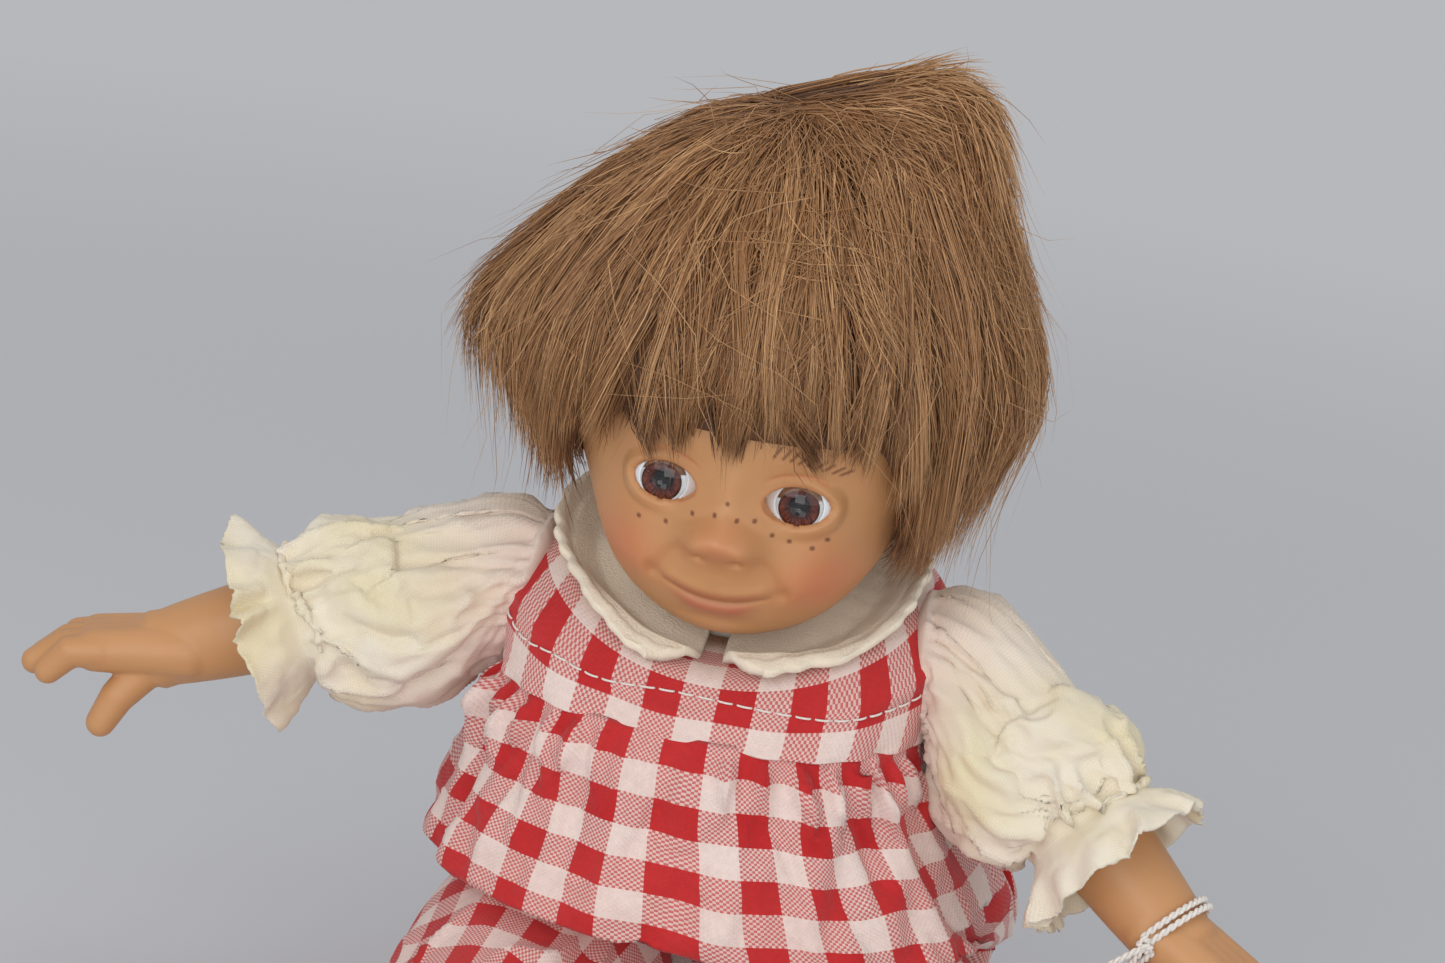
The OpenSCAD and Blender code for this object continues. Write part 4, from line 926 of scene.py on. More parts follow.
def settled(points, held, ease, pressure, fall, stiff, flip=False):
    # a cloth run over a grid that closes round its second direction: the cloth is cut larger by ease,
    # its held points stay, and it falls a little. It runs larger than life, which suits the solver's defaults
    piece = gridMesh("clothRun", points * cloth["larger"], flannel, closeV=True, flip=flip)
    pin = piece.vertex_groups.new(name="held")
    weights = np.broadcast_to(held, points.shape[:2]).ravel()
    for level in np.unique(weights[weights > 0]):
        pin.add(np.flatnonzero(weights == level).tolist(), float(level), "REPLACE")
    run = piece.modifiers.new("run", "CLOTH")
    run.settings.quality, run.settings.mass = 6, 0.3
    run.settings.tension_stiffness = run.settings.compression_stiffness = 15
    run.settings.shear_stiffness, run.settings.bending_stiffness = 5, stiff
    run.settings.vertex_group_mass = "held"
    run.settings.shrink_min = -ease
    run.settings.use_pressure, run.settings.uniform_pressure_force = True, pressure
    run.settings.effector_weights.gravity = fall
    run.collision_settings.use_collision = False
    run.point_cache.frame_start, run.point_cache.frame_end = 1, cloth["frames"]
    for f in range(1, cloth["frames"] + 1):
        bpy.context.scene.frame_set(f)
    shape = piece.evaluated_get(bpy.context.evaluated_depsgraph_get()).data
    found = np.empty(points.size, np.float32)
    shape.vertices.foreach_get("co", found)
    mesh = piece.data
    bpy.data.objects.remove(piece)
    bpy.data.meshes.remove(mesh)
    bpy.context.scene.frame_set(1)
    return found.reshape(points.shape).astype(float) / mm / cloth["larger"]


# Romper: gathered gingham body, yoke, leg tubes

romper = dict(
    seamZ=83.0, hipZ=24.4, hipY=-31.5, hipX=30.0, socket=25.0, columns=288, yokeRows=44,
    clothRound=318.0, bodyLength=105.0, gathers=46, folds=18, foldHeight=3.4, lapZ=49.4,
    yokeRound=235.0, yokeLength=40.0, yokeArea=0.0082, yokeWide=38.5,
    # height, half width, depth in front and depth behind
    table=((0, 42, 33.5, 28), (6, 48, 33.5, 34), (24.4, 48, 36, 34), (49.4, 51, 38, 34),
           (59.5, 46.2, 38, 33.5), (69.6, 40.8, 36, 31.5), (76.3, 38.8, 36, 31.5), (83, 38, 36, 31)),
)


def romperSize(z, column):
    # one column of the romper's table at height z, with the corners eased over 5 mm
    rows = np.array(romper["table"])
    return sum(np.interp(z + d, rows[:, 0], rows[:, column]) for d in (-2.5, 0, 2.5)) / 3


def romperX(z):
    # the romper's middle leans from the hips to the chest along an S-curve
    return doll["midX"] * smooth(z, romper["hipZ"], romper["seamZ"])


def swell(c):
    # a sine or cosine swelled towards a box
    return np.sign(c) * np.abs(c) ** (2 / 2.4)


def romperOval(z):
    # the romper's cut at height z: its middle in x, the line in y where its two half ovals meet,
    # its half width, and the depths of the front and back halves
    hipY, hipZ, r = romper["hipY"], romper["hipZ"], romper["socket"]
    low = z - hipZ
    room = hipY + np.where(low > 0, np.sqrt(np.maximum(0, r * r - low * low)), r)
    front = doll["midY"] - romperSize(z, 2)
    front = np.where(low >= r - 0.001, front, np.maximum(front, room))
    waist = hipZ + r + 4
    split = mix(hipY + r + 4.8, doll["midY"], smooth(z, waist, romper["seamZ"]))
    return romperX(z), split, romperSize(z, 1), split - front, doll["midY"] + romperSize(z, 3) - split


def romperRing(angle, z):
    # a point of the romper at angle from +X and height z
    midX, split, wide, fore, aft = romperOval(z)
    x = midX + wide * swell(np.cos(angle))
    y = split + np.where(np.sin(angle) < 0, fore, aft) * swell(np.sin(angle))
    return np.stack(np.broadcast_arrays(x, y, z), -1)


def heldOut(p):
    # cloth that fell into the body moves out to the oval at its own height
    x, y, z = np.moveaxis(p, -1, 0)
    midX, split, wide, fore, aft = romperOval(z)
    dx, dy = x - midX, y - split
    inside = (np.abs(dx) / wide) ** 2.4 + (np.abs(dy) / np.where(dy < 0, fore, aft)) ** 2.4
    grow = np.maximum(1, np.maximum(inside, 0.05) ** (-1 / 2.4))
    return np.stack((midX + dx * grow, split + dy * grow, z), -1)


def pleat(x):
    # a rounded ridge with a narrow valley once each turn, from -1 to 1
    return 1 - 2 * np.abs(np.sin(x / 2)) ** 0.7


def romperBody():
    # rings from the seam down to the seat, pushed out by gathers, folds and fullness, then settled as cloth
    n = romper["columns"]
    angle = np.linspace(0, 2 * math.pi, n, endpoint=False)[None, :]
    seat = 6 * (1 - np.linspace(0, 1, 10)[1:]) ** 1.6
    z = romper["seamZ"] + 0.6 - np.linspace(0, 34, 50)
    z = np.concatenate((z, np.linspace(romper["lapZ"], 6, 26)[1:], seat))[:, None]
    p = romperRing(angle, z)
    down = romper["seamZ"] - z
    out = np.stack((np.cos(angle) + 0 * z, np.sin(angle) + 0 * z, 0 * angle + 0 * z), -1)
    drift = ripple(3, 5, 2.4)(np.cos(angle) * 2, np.sin(angle) * 2, down * 0.045)
    vary = 0.8 + 0.4 * ripple(8, 4, 1.6)(np.cos(angle) * 2, np.sin(angle) * 2, down * 0.03)
    small = (pleat(angle * romper["gathers"] + 1.6 * drift) + 0.2) * 1.9
    small = small * bump((down - 2.5, 8)) * smooth(down, 0.2, 2.2)
    # the main folds, unevenly spaced, that fade below the waist and leave the back opening flat
    fold = 0.5 + 0.5 * np.cos(angle * romper["folds"] + 0.7 * np.sin(3 * angle) + 0.5 * drift)
    opening = 1 - bump((angle - math.pi / 2, 0.23))
    fold *= romper["foldHeight"] * smooth(down, 0, 8) * smooth(z, 43.4, 57.4) * opening
    puff = 2.0 * bump((down - 6.0, 5.0)) * smooth(down, 0, 3)
    puff = puff + 4.0 * bump((z - 47, 9)) * (0.5 + 0.5 * np.abs(np.cos(angle)))
    onFloor = smooth(z, 1.0, 14)
    p = p + out * ((small + fold) * vary * onFloor + puff)[..., None]
    p[0] -= out[0] * 1.0
    held = np.where((z > romper["seamZ"] - 0.8) | (z < 9), 1.0, np.where(z < 22, 0.5, 0.0))
    p = settled(p, held, 0.07, 0.2, 0.12, 0.15)
    p[1:-9] = heldOut(p[1:-9])
    p[:-9] = creased(p[:-9], 12, 9.0, 0.55)
    # the checks count down the mean of all sides, and below the lap down the back alone
    step = np.linalg.norm(np.diff(p, axis=0), axis=-1)
    step = np.where(z[1:, 0] > romper["lapZ"] + 0.1, step.mean(1), step[:, n // 8:3 * n // 8].mean(1))
    path = np.concatenate(((0.0,), np.cumsum(step)))
    turns = np.linspace(0, 1, n + 1)
    uv = np.stack(np.broadcast_arrays(turns[None, :] * romper["clothRound"], -path[:, None]), -1)
    # the underside closes at its middle
    centre = np.array((0, -2.0, 0.0))
    floor = centre + (p[-1] - centre) * np.array((0.66, 0.33, 0.0))[:, None, None]
    uvFloor = np.stack([uv[-1] - np.array((0, 12.0 * k)) for k in (1, 2, 3)])
    return np.concatenate((p, floor)), np.concatenate((uv, uvFloor))


def toFront(a):
    # 1 straight in front, falling as a squared cosine to 0 at the sides
    return np.maximum(0, np.cos(a)) ** 2


def dish(r, a):
    # height of the collar's upper face over the neck ring: flat round the neck, lowest under the chin.
    # In front it rolls over its crest and its edge lies down on the yoke
    rise = np.maximum(0, r - 26) * mix(0.72, 0.62, np.cos(a) ** 2)
    roll = toFront(a) * (0.9 * bump((r - 31, 2.6)) - 3.6 * smooth(r, 30.5, 37.5))
    return -4.6 - 3.9 * toFront(a) + rise + roll


def collarEdge(a):
    # the collar's edge: an oval, deeper in front
    deep = np.where(np.cos(a) > 0, 35.0, 31.0)
    return 1 / np.sqrt((np.sin(a) / 33) ** 2 + (np.cos(a) / deep) ** 2)


def neckPoint(r, a, z):
    # radius, angle from the front and height about the neck's own tilted axis
    local = np.stack(np.broadcast_arrays(r * np.sin(a), -r * np.cos(a), z), -1)
    return tilted(local, doll["neck"], doll["neckTilt"])


def yokeSurface():
    # rings from the seam up to the collar's edge and in under the collar to the neck hole
    n, m = romper["columns"], romper["yokeRows"]
    angle = np.linspace(0, 2 * math.pi, n, endpoint=False)[None, :]
    a = angle + math.pi / 2
    t = np.linspace(0, 0.97, m - 12)[:, None]
    z = mix(romper["seamZ"], doll["neck"][2] - 9 - 3.9 * toFront(a), t)
    wide = romper["yokeWide"] + 1.0 * t
    deep = np.where(np.sin(angle) < 0, mix(36.0, 34.0, t), mix(31.0, 33.0, t))
    tilt = np.radians(doll["neckTilt"] * 0.8 * t)
    y = deep * swell(np.sin(angle))
    bent = np.stack(np.broadcast_arrays(
        doll["midX"] + wide * swell(np.cos(angle)),
        doll["midY"] + 2 * t + y * np.cos(tilt), z + y * np.sin(tilt)), -1)
    rim = collarEdge(a)
    top = [neckPoint(rim + 1, a, dish(rim + 1, a) - 4.0), neckPoint(rim - 0.5, a, dish(rim - 0.5, a) - 2.3)]
    inward = [neckPoint(r, a, dish(r, a) - 2.0) for r in (30 + 0 * a, 26 + 0 * a, 22 + 0 * a, 17.5 + 0 * a)]
    return np.concatenate((bent, *top, *inward))


def smoothRows(p, times):
    # each ring is averaged with its neighbours, the first and last kept
    for _ in range(times):
        p[1:-1] = (p[:-2] + 2 * p[1:-1] + p[2:]) / 4
    return p


def makeRomper():
    # gives back the yoke's points, for its stitching
    points, uv = romperBody()
    body = weld(gridMesh("romperBody", points, ginghamCloth, closeV=True, uv=uv))
    thicken(body, 0.6)
    fitted(body, "torso", "romper_body")
    p = yokeSurface()
    p = smoothRows(p, 2)
    n = p.shape[1]
    # soft dents all over, and a lower edge that the gathers below pull in and let out
    out = p - np.array((doll["midX"], doll["midY"], 0))
    out[..., 2] = 0
    out /= np.linalg.norm(out, axis=-1, keepdims=True)
    face = smooth(-np.arange(len(p)), -len(p) + 10, -len(p) + 18)[:, None]
    dent = 0.55 * ripple(15, 7, 2.0)(*np.moveaxis(p / 11, -1, 0)) * face
    hem = 0.35 * np.sin(np.linspace(0, 2 * math.pi * romper["gathers"] / 2, n))
    hem = hem * bump((np.arange(len(p)), 4))[:, None]
    p = p + out * (dent + hem)[..., None]
    # the yoke's cloth runs straight down the front: across it counts round each ring, up it follows the rings
    ring = np.linalg.norm(np.diff(np.concatenate((p, p[:, :1]), 1), axis=1), axis=-1)
    around = np.concatenate((np.zeros((len(p), 1)), np.cumsum(ring, 1)), 1)
    front = 3 * n // 4
    u = around - around[:, front:front + 1]
    v = runLength(p[:, front])
    uv = np.stack(np.broadcast_arrays(u + 3.0, v[:, None] + 2.2), -1)
    yoke = gridMesh("romperYoke", p, ginghamCloth, closeV=True, uv=uv, flip=True)
    thicken(yoke, 0.7)
    fitted(yoke, "torso", "romper_yoke")
    return p


yokePoints = makeRomper()
print("romper body and yoke made")


# Collar: two halves of flannel, each a padded band with rounded front corners

collar = dict(
    steps=150, across=26, thick=1.7, inner=18.0, rim=34.0, split=1.5, corner=9.0,
    flat=(0.07, 0.036), area=0.0014,
)


def collarHalf(side):
    # a section across the band, swept from the front split to the back split; the corners are cut round
    n, m = collar["steps"], collar["across"]
    w = np.linspace(0, 1, n)[:, None]
    c = np.linspace(0, 1, m)[None, :]
    r = collar["inner"] + (collar["rim"] - collar["inner"]) * c
    over = np.clip((r - (collar["rim"] - collar["corner"])) / collar["corner"], 0, 1)
    inset = collar["corner"] * (1 - np.sqrt(1 - 0.985 * over ** 2))
    start = (collar["split"] + inset + 0.4) / r
    a = mix(start, math.pi - start * 0.8, w)
    scallop = 0.3 * ripple(61 + side, 6, 0.11)(a, 0 * a) + 0.4 * ripple(67 + side, 5, 0.5)(a, 0 * a)
    rr = collar["inner"] + (collarEdge(a) + scallop * c ** 3 - collar["inner"]) * c
    wave = 0.7 * ripple(31 + side, 5, 0.9)(a, rr * 0.02) * c ** 2
    # the padded rim, the groove of its stitching and the soft unevenness of brushed cloth
    pad = 0.45 * bump((c - 0.93, 0.05)) - 0.5 * bump((c - 0.85, 0.03))
    pad = pad + 0.2 * ripple(71 + side, 6, 2.0)(a * 8, rr * 0.4) * c
    top = dish(rr, a) + wave + pad
    low = dish(rr, a) + wave - collar["thick"]
    # the edge is a half round
    edge = np.linspace(-1, 1, 9)[None, 1:-1] * math.pi / 2
    re = rr[:, -1:] + 0.5 * np.cos(edge)
    ze = (top[:, -1:] + low[:, -1:]) / 2 - collar["thick"] / 2 * np.sin(edge)
    aEdge = np.broadcast_to(a[:, -1:], re.shape)
    aa = np.concatenate((a, aEdge, a[:, ::-1]), 1)
    radius, height = np.concatenate((rr, re, rr[:, ::-1]), 1), np.concatenate((top, ze, low[:, ::-1]), 1)
    p = neckPoint(radius, side * aa, height)
    close = [(p[k] + p[k][::-1])[None] / 2 for k in (0, -1)]
    return np.concatenate((close[0], p, close[1]))


for side, word in ((-1, "Right"), (1, "Left")):
    piece = weld(gridMesh("collar" + word, collarHalf(side), flannel, closeV=True))
    fitted(piece, "torso", "collar_" + word.lower())
print("collar made")


# Sleeves: cream lawn puffs, gathered into the armhole and by elastic, with a frill

sleeve = dict(
    columns=176, rows=84, puff=19.5, elasticR=11.4, frill=18.5, length=46.0, frillWidth=9.0,
    clothRound=140.0, cutLength=56.0, gathers=26, pleats=13, ruffles=9,
    holeOut=36.2, holeZ=93.4, holeTall=13.4, holeDeep=13.5, armR=12.6,
)
arms = dict(
    right=dict(side=-1, drop=23.0, turn=11.0), left=dict(side=1, drop=35.5, turn=24.0),
)


def armPlace(points, word):
    # points drawn along +Z from the shoulder, +X on the lower side and -Y in front, put on the doll
    arm = arms[word]
    d, t = math.radians(90 + arm["drop"]), math.radians(-arm["turn"])
    x, y, z = np.moveaxis(points, -1, 0)
    x, z = x * math.cos(d) + z * math.sin(d), -x * math.sin(d) + z * math.cos(d)
    x, y = x * math.cos(t) - y * math.sin(t), x * math.sin(t) + y * math.cos(t)
    x = doll["midX"] + arm["side"] * (doll["shoulderOut"] + x)
    return np.stack((x, doll["midY"] + y, doll["shoulderZ"] + z), -1)


def clearOfArm(p, word):
    # cloth that fell into the stuffed arm moves straight out to its skin, which draws in at the tie
    ends = armPlace(np.array(((0.0, 0.0, 0.0), (0.0, 0.0, 1.0))), word)
    along = ends[1] - ends[0]
    s = (p - ends[0]) @ along
    middle = ends[0] + np.clip(s, 0, 40)[..., None] * along
    off = p - middle
    far = np.linalg.norm(off, axis=-1)
    least = mix(sleeve["armR"], 9.9, smooth(s, 19, 27))
    return middle + off * (np.maximum(far, least) / far)[..., None]


def sleeveSurface(word, seed):
    # rings along the arm: the radius swells from the armhole, draws in at the elastic and opens in the frill.
    # The first rings turn from the armhole, an upright oval at the yoke's side, to the arm's own direction
    n, m = sleeve["columns"], sleeve["rows"]
    phi = np.linspace(0, 2 * math.pi, n, endpoint=False)[None, :]
    elasticAt = sleeve["length"] - sleeve["frillWidth"]
    z = np.linspace(0, sleeve["length"], m)[:, None]
    k = np.clip(z / elasticAt, 0, 1)
    puff = mix(sleeve["holeTall"], sleeve["elasticR"], smooth(k))
    puff = puff + (sleeve["puff"] - 13) * np.sin(math.pi * k ** 0.85) ** 0.8
    past = np.clip((z - elasticAt) / sleeve["frillWidth"], 0, 1)
    puff = np.where(z < elasticAt, puff, mix(sleeve["elasticR"], sleeve["frill"], past ** 0.8))
    drift = ripple(seed, 6, 1.7)(np.cos(phi) * 2, np.sin(phi) * 2, z * 0.09)
    vary = 0.8 + 0.35 * ripple(seed + 1, 5, 1.5)(np.cos(phi) * 2, np.sin(phi) * 2, z * 0.06)
    p = np.stack(np.broadcast_arrays(puff * np.cos(phi), puff * np.sin(phi), z), -1)
    p = armPlace(p, word)
    side = arms[word]["side"]
    hole = np.stack(np.broadcast_arrays(
        doll["midX"] + side * (sleeve["holeOut"] + 2.0 * np.cos(phi)),
        doll["midY"] + sleeve["holeDeep"] * np.sin(phi),
        sleeve["holeZ"] - sleeve["holeTall"] * np.cos(phi)), -1)
    outward = np.array((side, 0, 0)) * z[..., None] * 0.9
    p = mix(hole + outward, p, smooth(z, 0, 15)[..., None])
    held = np.where((z < 1) | (np.abs(z - elasticAt - 0.5) < 1.2), 1.0, np.where(z > elasticAt, 0.3, 0.0))
    p = settled(p, held, 0.08, 0.35, 0.08, 0.15, flip=side > 0)
    p = clearOfArm(ironed(p, 0.5 * bump((z - elasticAt, 9)) + 0 * phi, 6), word)
    # gathers at the armhole, pleats above the elastic and the frill's waves, with creases all over
    top = pleat(phi * sleeve["gathers"] + 1.6 * drift) * 0.8 * bump((z - 3, 9)) * smooth(z, 0, 2)
    near = pleat(phi * sleeve["pleats"] + 2.0 * drift + 1.0) * 1.7
    near = near * bump((z - elasticAt + 5, 9)) * smooth(-z, -elasticAt, -elasticAt + 4)
    ruffle = np.sin(phi * sleeve["ruffles"] + 2.0 * drift) * 2.2 * smooth(z, elasticAt + 1, sleeve["length"])
    p = raised(p, (top + near + ruffle) * vary, flip=side > 0)
    loose = smooth(-z, -elasticAt, -elasticAt + 10) * np.clip(vary, 0.3, 1.3)
    p = creased(p, seed + 2, 11.0, 1.1 * loose, flip=side > 0)
    p = creased(p, seed + 3, 5.0, 0.2 * loose, flip=side > 0)
    # the seam's turnings run in under the yoke
    under = np.array((doll["midX"] + side * (sleeve["holeOut"] - 9), doll["midY"], sleeve["holeZ"]))
    p = np.concatenate((mix(under, hole, 0.72), mix(under, hole, 0.9), p))
    pink = smooth(-z, -16, 4) * 0.9 + 0.55 * smooth(np.cos(phi), 0.2, 1.0) * smooth(-z, -40, -18)
    pink = np.concatenate((pink[:1], pink[:1], pink))
    turns = np.linspace(0, 1, n + 1)
    uv = np.stack(np.broadcast_arrays(turns[None, :] * sleeve["clothRound"], runLength(p)[:, None]), -1)
    return p, uv, np.clip(pink, 0, 1)[..., None]


def makeSleeves():
    # each sleeve is built in place and the frame's sleeve is hidden; the real one is held by the body at the
    # armhole and by the arm 14 mm further out
    for seed, word in ((41, "right"), (57, "left")):
        p, uv, pink = sleeveSurface(word, seed)
        mirrored = arms[word]["side"] > 0
        piece = gridMesh("sleeve" + word.title(), p, creamLawn, closeV=True, uv=uv, paint=pink, flip=mirrored)
        thicken(piece, 0.4)
        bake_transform(piece)
        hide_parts("sleeve_" + word)


makeSleeves()
print("sleeves made")


# Forearms and hands: vinyl

hands = dict(elbow=9.2, wristAt=62.0, length=26.0, lift=14.0, finger=3.0)


def capsule(a, b, ra, rb, sides=20):
    # a rod with round ends from a to b
    a, b = np.array(a, float), np.array(b, float)
    axis = (b - a) / np.linalg.norm(b - a)
    t = np.linspace(0, math.pi / 2, 8)
    path = np.concatenate((a - np.outer(np.cos(t), axis) * ra, b + np.outer(np.sin(t), axis) * rb))
    radius = np.concatenate((ra * np.sin(t), rb * np.cos(t)))
    side = np.cross(axis, (0.3, 0.5, 0.8))
    side /= np.linalg.norm(side)
    up = np.cross(axis, side)
    w = np.linspace(0, 2 * math.pi, sides, endpoint=False)
    ring = np.cos(w)[:, None] * side + np.sin(w)[:, None] * up
    return path[:, None] + ring[None] * radius[:, None, None]


def remeshed(piece, voxel, rounds):
    # closed forms run into one skin: a voxel remesh and then some smoothing
    remesh = piece.modifiers.new("skin", "REMESH")
    remesh.mode, remesh.voxel_size = "VOXEL", voxel * mm
    soften = piece.modifiers.new("soften", "SMOOTH")
    soften.factor, soften.iterations = 0.5, rounds
    depsgraph = bpy.context.evaluated_depsgraph_get()
    mesh = bpy.data.meshes.new_from_object(piece.evaluated_get(depsgraph))
    piece.modifiers.clear()
    old = piece.data
    piece.data = mesh
    bpy.data.meshes.remove(old)
    mesh.shade_smooth()
    return piece


def handForms():
    # palm, four curled fingers and a thumb held away below the palm, drawn along +Z from the wrist
    h, f = hands["length"], hands["finger"]
    knuckle, spread = h * 0.48, f * 1.72
    forms = []
    for y in (-1, -0.33, 0.33, 1):
        forms.append(capsule((-0.4, y * 3.4, -4), (-1.0, y * (spread - 1.2), knuckle), 5.0, f + 1.0))
    forms.append(capsule((2.4, 1.5, 2), (1.6, 2.2, knuckle - 1), 4.6, 3.4))
    for i, (reach, curl) in enumerate(zip((0.9, 1, 0.97, 0.86), (3.4, 2.6, 2.8, 3.4))):
        y = mix(-spread, spread, i / 3)
        end = h * reach - f + 0.5
        bend = mix(knuckle, end, 0.5)
        forms.append(capsule((-1.2, y, knuckle - 1), (-1.1, y, bend), f + 0.1, f - 0.1))
        forms.append(capsule((-1.1, y, bend), (curl - 0.9, y * 0.94, end), f - 0.1, f - 0.5))
    web = (h * 0.3, -spread * 0.8, h * 0.34)
    forms.append(capsule((2, -spread * 0.45, 2.5), web, f + 0.9, f + 0.2))
    forms.append(capsule(web, (h * 0.48, -spread * 0.9, h * 0.46), f + 0.2, f - 0.3))
    # the whole hand lifts at the wrist
    c, s = math.cos(math.radians(-hands["lift"])), math.sin(math.radians(-hands["lift"]))
    lifted = []
    for x, y, z in (np.moveaxis(form, -1, 0) for form in forms):
        lifted.append(np.stack((x * c + z * s, y, -x * s + z * c + hands["wristAt"]), -1))
    return lifted


def makeForearms():
    # a turned stem with the flange and groove that the upper arm is tied on, run together with the hand
    groove = hands["elbow"] - 2
    profile = np.array((
        (0, 21), (groove + 1, 21), (groove + 1, 24), (groove, 24), (groove, 28), (8.4, 28), (9.2, 29.5),
        (9.1, 36), (8.6, 46), (7.9, 54), (7.35, 59), (7.0, 61.5), (7.2, 64), (5.5, 67), (0, 68)))
    stem = turned(profile, 48)
    for word in ("right", "left"):
        grids = [armPlace(g, word) for g in [stem] + handForms()]
        piece = remeshed(joined("forearm" + word.title(), grids, vinyl), 0.4, 8)
        fitted(piece, word + "_forearm", "forearm_" + word)


makeForearms()
print("forearms made")


# Romper legs and vinyl lower legs

legs = dict(
    side=dict(right=-1, left=1), drop=6.0, spread=8.0, cuffAt=54.0, cuffWidth=7.0, radius=24.0, cuff=14.9,
    columns=220, rows=96, clothRound=168.0, cutLength=84.0, gathers=24, folds=9,
    length=104.0, calf=12.5, ankle=9.0, heel=9.6, footLength=36.0, footWidth=18.0, toe=2.7,
)


def legPlace(points, word):
    # points drawn along +Z from the hip, +Y towards the toes, put on the doll
    side = legs["side"][word]
    d, t = math.radians(90 + legs["drop"]), math.radians(side * legs["spread"])
    x, y, z = np.moveaxis(points, -1, 0)
    y, z = y * math.cos(d) - z * math.sin(d), y * math.sin(d) + z * math.cos(d)
    x, y = x * math.cos(t) - y * math.sin(t), x * math.sin(t) + y * math.cos(t)
    return np.stack((side * romper["hipX"] + x, romper["hipY"] + y, romper["hipZ"] + z), -1)


def legSurface(seed):
    # a ball at the hip, a tapering tube, gathers at the elastic and a narrow frill
    n, m = legs["columns"], legs["rows"]
    phi = np.linspace(0, 2 * math.pi, n, endpoint=False)[None, :]
    r, cuffAt, end = legs["radius"], legs["cuffAt"], legs["cuffAt"] + legs["cuffWidth"]
    turn = np.radians(np.linspace(60, 0, 24, endpoint=False))
    z = np.concatenate((-r * np.sin(turn), np.linspace(0, end, m - 24)))[:, None]
    room = r - np.maximum(z, 0) * math.sin(math.radians(legs["drop"])) - 0.1
    tubeR = np.where(z < 0, np.sqrt(np.maximum(0, r * r - z * z)), room)
    tubeR = mix(tubeR, legs["cuff"], smooth(z, 36, cuffAt)) + 2.8 * smooth(z, cuffAt + 1.5, end)
    drift = ripple(seed, 5, 2.0)(np.cos(phi) * 2, np.sin(phi) * 2, z * 0.06)
    vary = 0.8 + 0.35 * ripple(seed + 1, 5, 1.5)(np.cos(phi) * 2, np.sin(phi) * 2, z * 0.05)
    near = pleat(phi * legs["gathers"] + 2.2 * drift) * 1.1
    near = near * bump((z - cuffAt + 3, 9)) * (1 - 0.8 * bump((z - cuffAt - 0.8, 1.2)))
    broad = pleat(phi * legs["folds"] + 2.0 * drift + 1) * 1.2
    broad = broad * smooth(z, 6, 24) * smooth(-z, -cuffAt, -cuffAt + 12)
    frill = np.sin(phi * 13 + 2 * drift) * 1.2 * smooth(z, cuffAt + 1.5, end)
    lap = 1.0 * bump((z - 12, 12)) * smooth(np.sin(phi), -0.5, 0.5)
    rr = np.maximum(tubeR + (near + broad) * vary + frill + lap, tubeR - 0.2)
    p = np.stack(np.broadcast_arrays(rr * np.cos(phi), rr * np.sin(phi), z), -1)
    turns = np.linspace(0, 1, n + 1)
    uv = np.stack(np.broadcast_arrays(turns[None, :] * legs["clothRound"], runLength(p)[:, None]), -1)
    return p, uv


def footForms(side):
    # heel, ankle, instep and five toes, with the sole towards +Z
    sole, heel, ankle = legs["length"], legs["heel"], legs["ankle"]
    drop = math.radians(legs["drop"])
    low = -(romper["hipZ"] - (sole - heel) * math.sin(drop)) / math.cos(drop) + heel + 0.4
    ballY = low - heel + legs["footLength"] - 2 * legs["toe"] - 3
    half = legs["footWidth"] / 2
    ankleAt, heelAt = (0, 0, sole - heel * 2.2), (0, low, sole - heel)
    forms = [capsule(heelAt, (x * (half - 4.5), ballY, sole - 5), heel, 4.7) for x in (-1, -0.3, 0.3, 1)]
    forms += [capsule(ankleAt, heelAt, ankle, heel), capsule(ankleAt, (0, ballY - 6, sole - 5.5), ankle, 5.2)]
    for i in range(5):
        x = side * mix(-half + 3.4, half - 2, i / 4)
        r = mix(legs["toe"] + 0.6, legs["toe"] - 0.5, i / 4)
        tip = low - heel + legs["footLength"] - r - i * 0.9
        forms.append(capsule((x * 0.9, ballY - 2, sole - 4.5), (x, tip, sole - 4.2), r, r))
    return forms


def makeLegs():
    # gingham tubes over the thighs, and turned vinyl stems run together with the feet
    groove, calf, ankle = legs["calf"] - 2.5, legs["calf"], legs["ankle"]
    profile = np.array((
        (0, 41), (groove + 1, 41), (groove + 1, 44), (groove, 44), (groove, 48), (calf - 0.8, 48),
        (calf, 49.5), (calf + 0.1, 56), (calf - 0.9, 67), (calf - 2.6, 77), (ankle, 83),
        (ankle - 2, 88), (0, 90)))
    stem = turned(profile, 56)
    for seed, word in ((71, "right"), (83, "left")):
        p, uv = legSurface(seed)
        p = legPlace(p, word)
        # the underside lies on the seat plane
        p[..., 2] = softMax(p[..., 2], 0.4, 1.5)
        piece = gridMesh("romperLeg" + word.title(), p, ginghamCloth, closeV=True, uv=uv, flip=True)
        thicken(piece, 0.6)
        fitted(piece, word + "_leg", "romper_leg_" + word)
        grids = [legPlace(g, word) for g in [stem] + footForms(legs["side"][word])]
        piece = remeshed(joined("lowerLeg" + word.title(), grids, vinyl), 0.5, 8)
        fitted(piece, word + "_lower_leg", "lower_leg_" + word)


makeLegs()
print("legs made")


# String at the left wrist: two plies, two turns, a knot and two tails

string = dict(at=61.0, radius=8.34, thick=1.2, pitch=3.0, tail=9.0)


def twoPly(path, thick, pitch):
    # two plies that wind round a path, each half as thick as the string
    side, up = squareTo(path)
    turn = runLength(path)[:, None] / pitch * 2 * math.pi
    plies = []
    for o in (0, math.pi):
        ply = path + (np.cos(turn + o) * side + np.sin(turn + o) * up) * thick / 4
        plies.append(tube(ply, thick / 3.4, 8))
    return plies


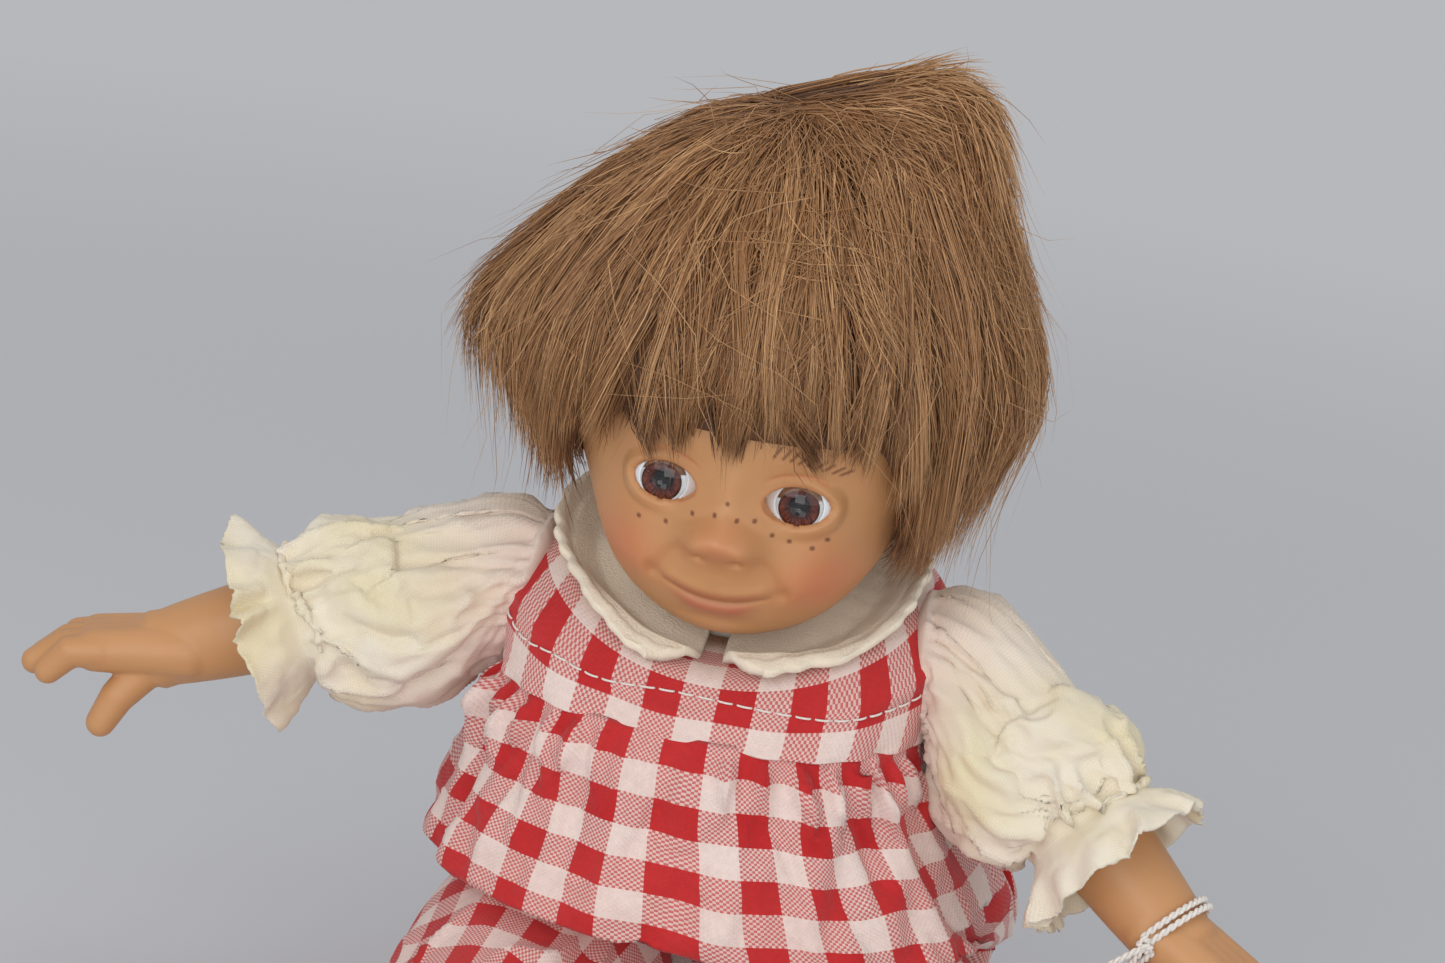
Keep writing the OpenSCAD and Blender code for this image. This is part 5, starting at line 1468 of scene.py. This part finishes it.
def makeString():
    # a double turn drawn as a slow helix, a small figure-eight knot and two hanging ends
    r, at, d = string["radius"], string["at"], string["thick"]
    w = np.linspace(-0.5 * math.pi, 3.5 * math.pi, 300)
    loop = np.stack((r * np.cos(w), r * np.sin(w), at - 1.3 * d * (w / (2 * math.pi) - 0.75 + 0.5)), -1)
    k = np.linspace(0, 2 * math.pi, 60)
    knotAt = np.array((0, -r - 0.7 * d, at - 0.65 * d))
    knot = knotAt + np.stack((0.75 * np.sin(2 * k), 0.55 * np.cos(k), 1.1 * np.sin(k)), -1)
    grids = twoPly(loop, d, string["pitch"]) + twoPly(knot, d * 0.9, string["pitch"])
    t = np.linspace(0, 1, 60)[:, None]
    for lean in (-1, 1):
        end = knotAt + np.array((string["tail"] * 0.95, lean * string["tail"] * 0.22, lean * 1.6))
        tail = mix(knotAt, end, t) + np.array((0, -1.1, 0)) * np.sin(math.pi * t)
        grids += twoPly(tail, d, string["pitch"])
    piece = joined("wristString", [armPlace(g, "left") for g in grids], stringCotton)
    fitted(piece, "left_forearm", "wrist_string")


makeString()
print("string made")


# Topstitching: white stitches round the yoke, a little above its seam

stitches = dict(above=6.6, sideRise=7.0, length=2.6, gap=0.8, radius=0.2, lift=0.12)


def makeStitches():
    # short arched tubes along a line above the seam, across the front from armhole to armhole
    n = yokePoints.shape[1]
    columns = np.arange(n // 2 + 6, n - 6)
    front = yokePoints[:, columns]
    # the line rises towards the armholes
    above = stitches["above"] + stitches["sideRise"] * np.abs(columns / (n / 4) - 3) ** 3
    rise = front[..., 2] - romper["seamZ"] - 0.4 * ripple(19, 5, 14.0)(columns, 0 * columns)
    i = (rise < above).argmin(0) - 1
    c = np.arange(len(columns))
    t = (above - rise[i, c]) / (rise[i + 1, c] - rise[i, c])
    line = mix(front[i, c], front[i + 1, c], t[:, None])
    length = runLength(line)
    out = line - np.array((doll["midX"], doll["midY"], 0))
    out[:, 2] = 0
    out /= np.linalg.norm(out, axis=1, keepdims=True)
    grids = []
    for start in np.arange(3, length[-1] - 4, stitches["length"] + stitches["gap"]):
        s = start + stitches["length"] * np.linspace(0, 1, 9)
        at = np.stack([np.interp(s, length, line[:, k]) for k in range(3)], -1)
        lift = np.stack([np.interp(s, length, out[:, k]) for k in range(3)], -1)
        arch = np.sin(math.pi * np.linspace(0, 1, 9))[:, None] ** 0.5
        grids.append(tube(at + lift * (stitches["lift"] + 0.3 * arch), stitches["radius"], 6))
    piece = joined("yokeStitching", grids, sewingThread)
    fitted(piece, "torso")


makeStitches()
print("stitching made")
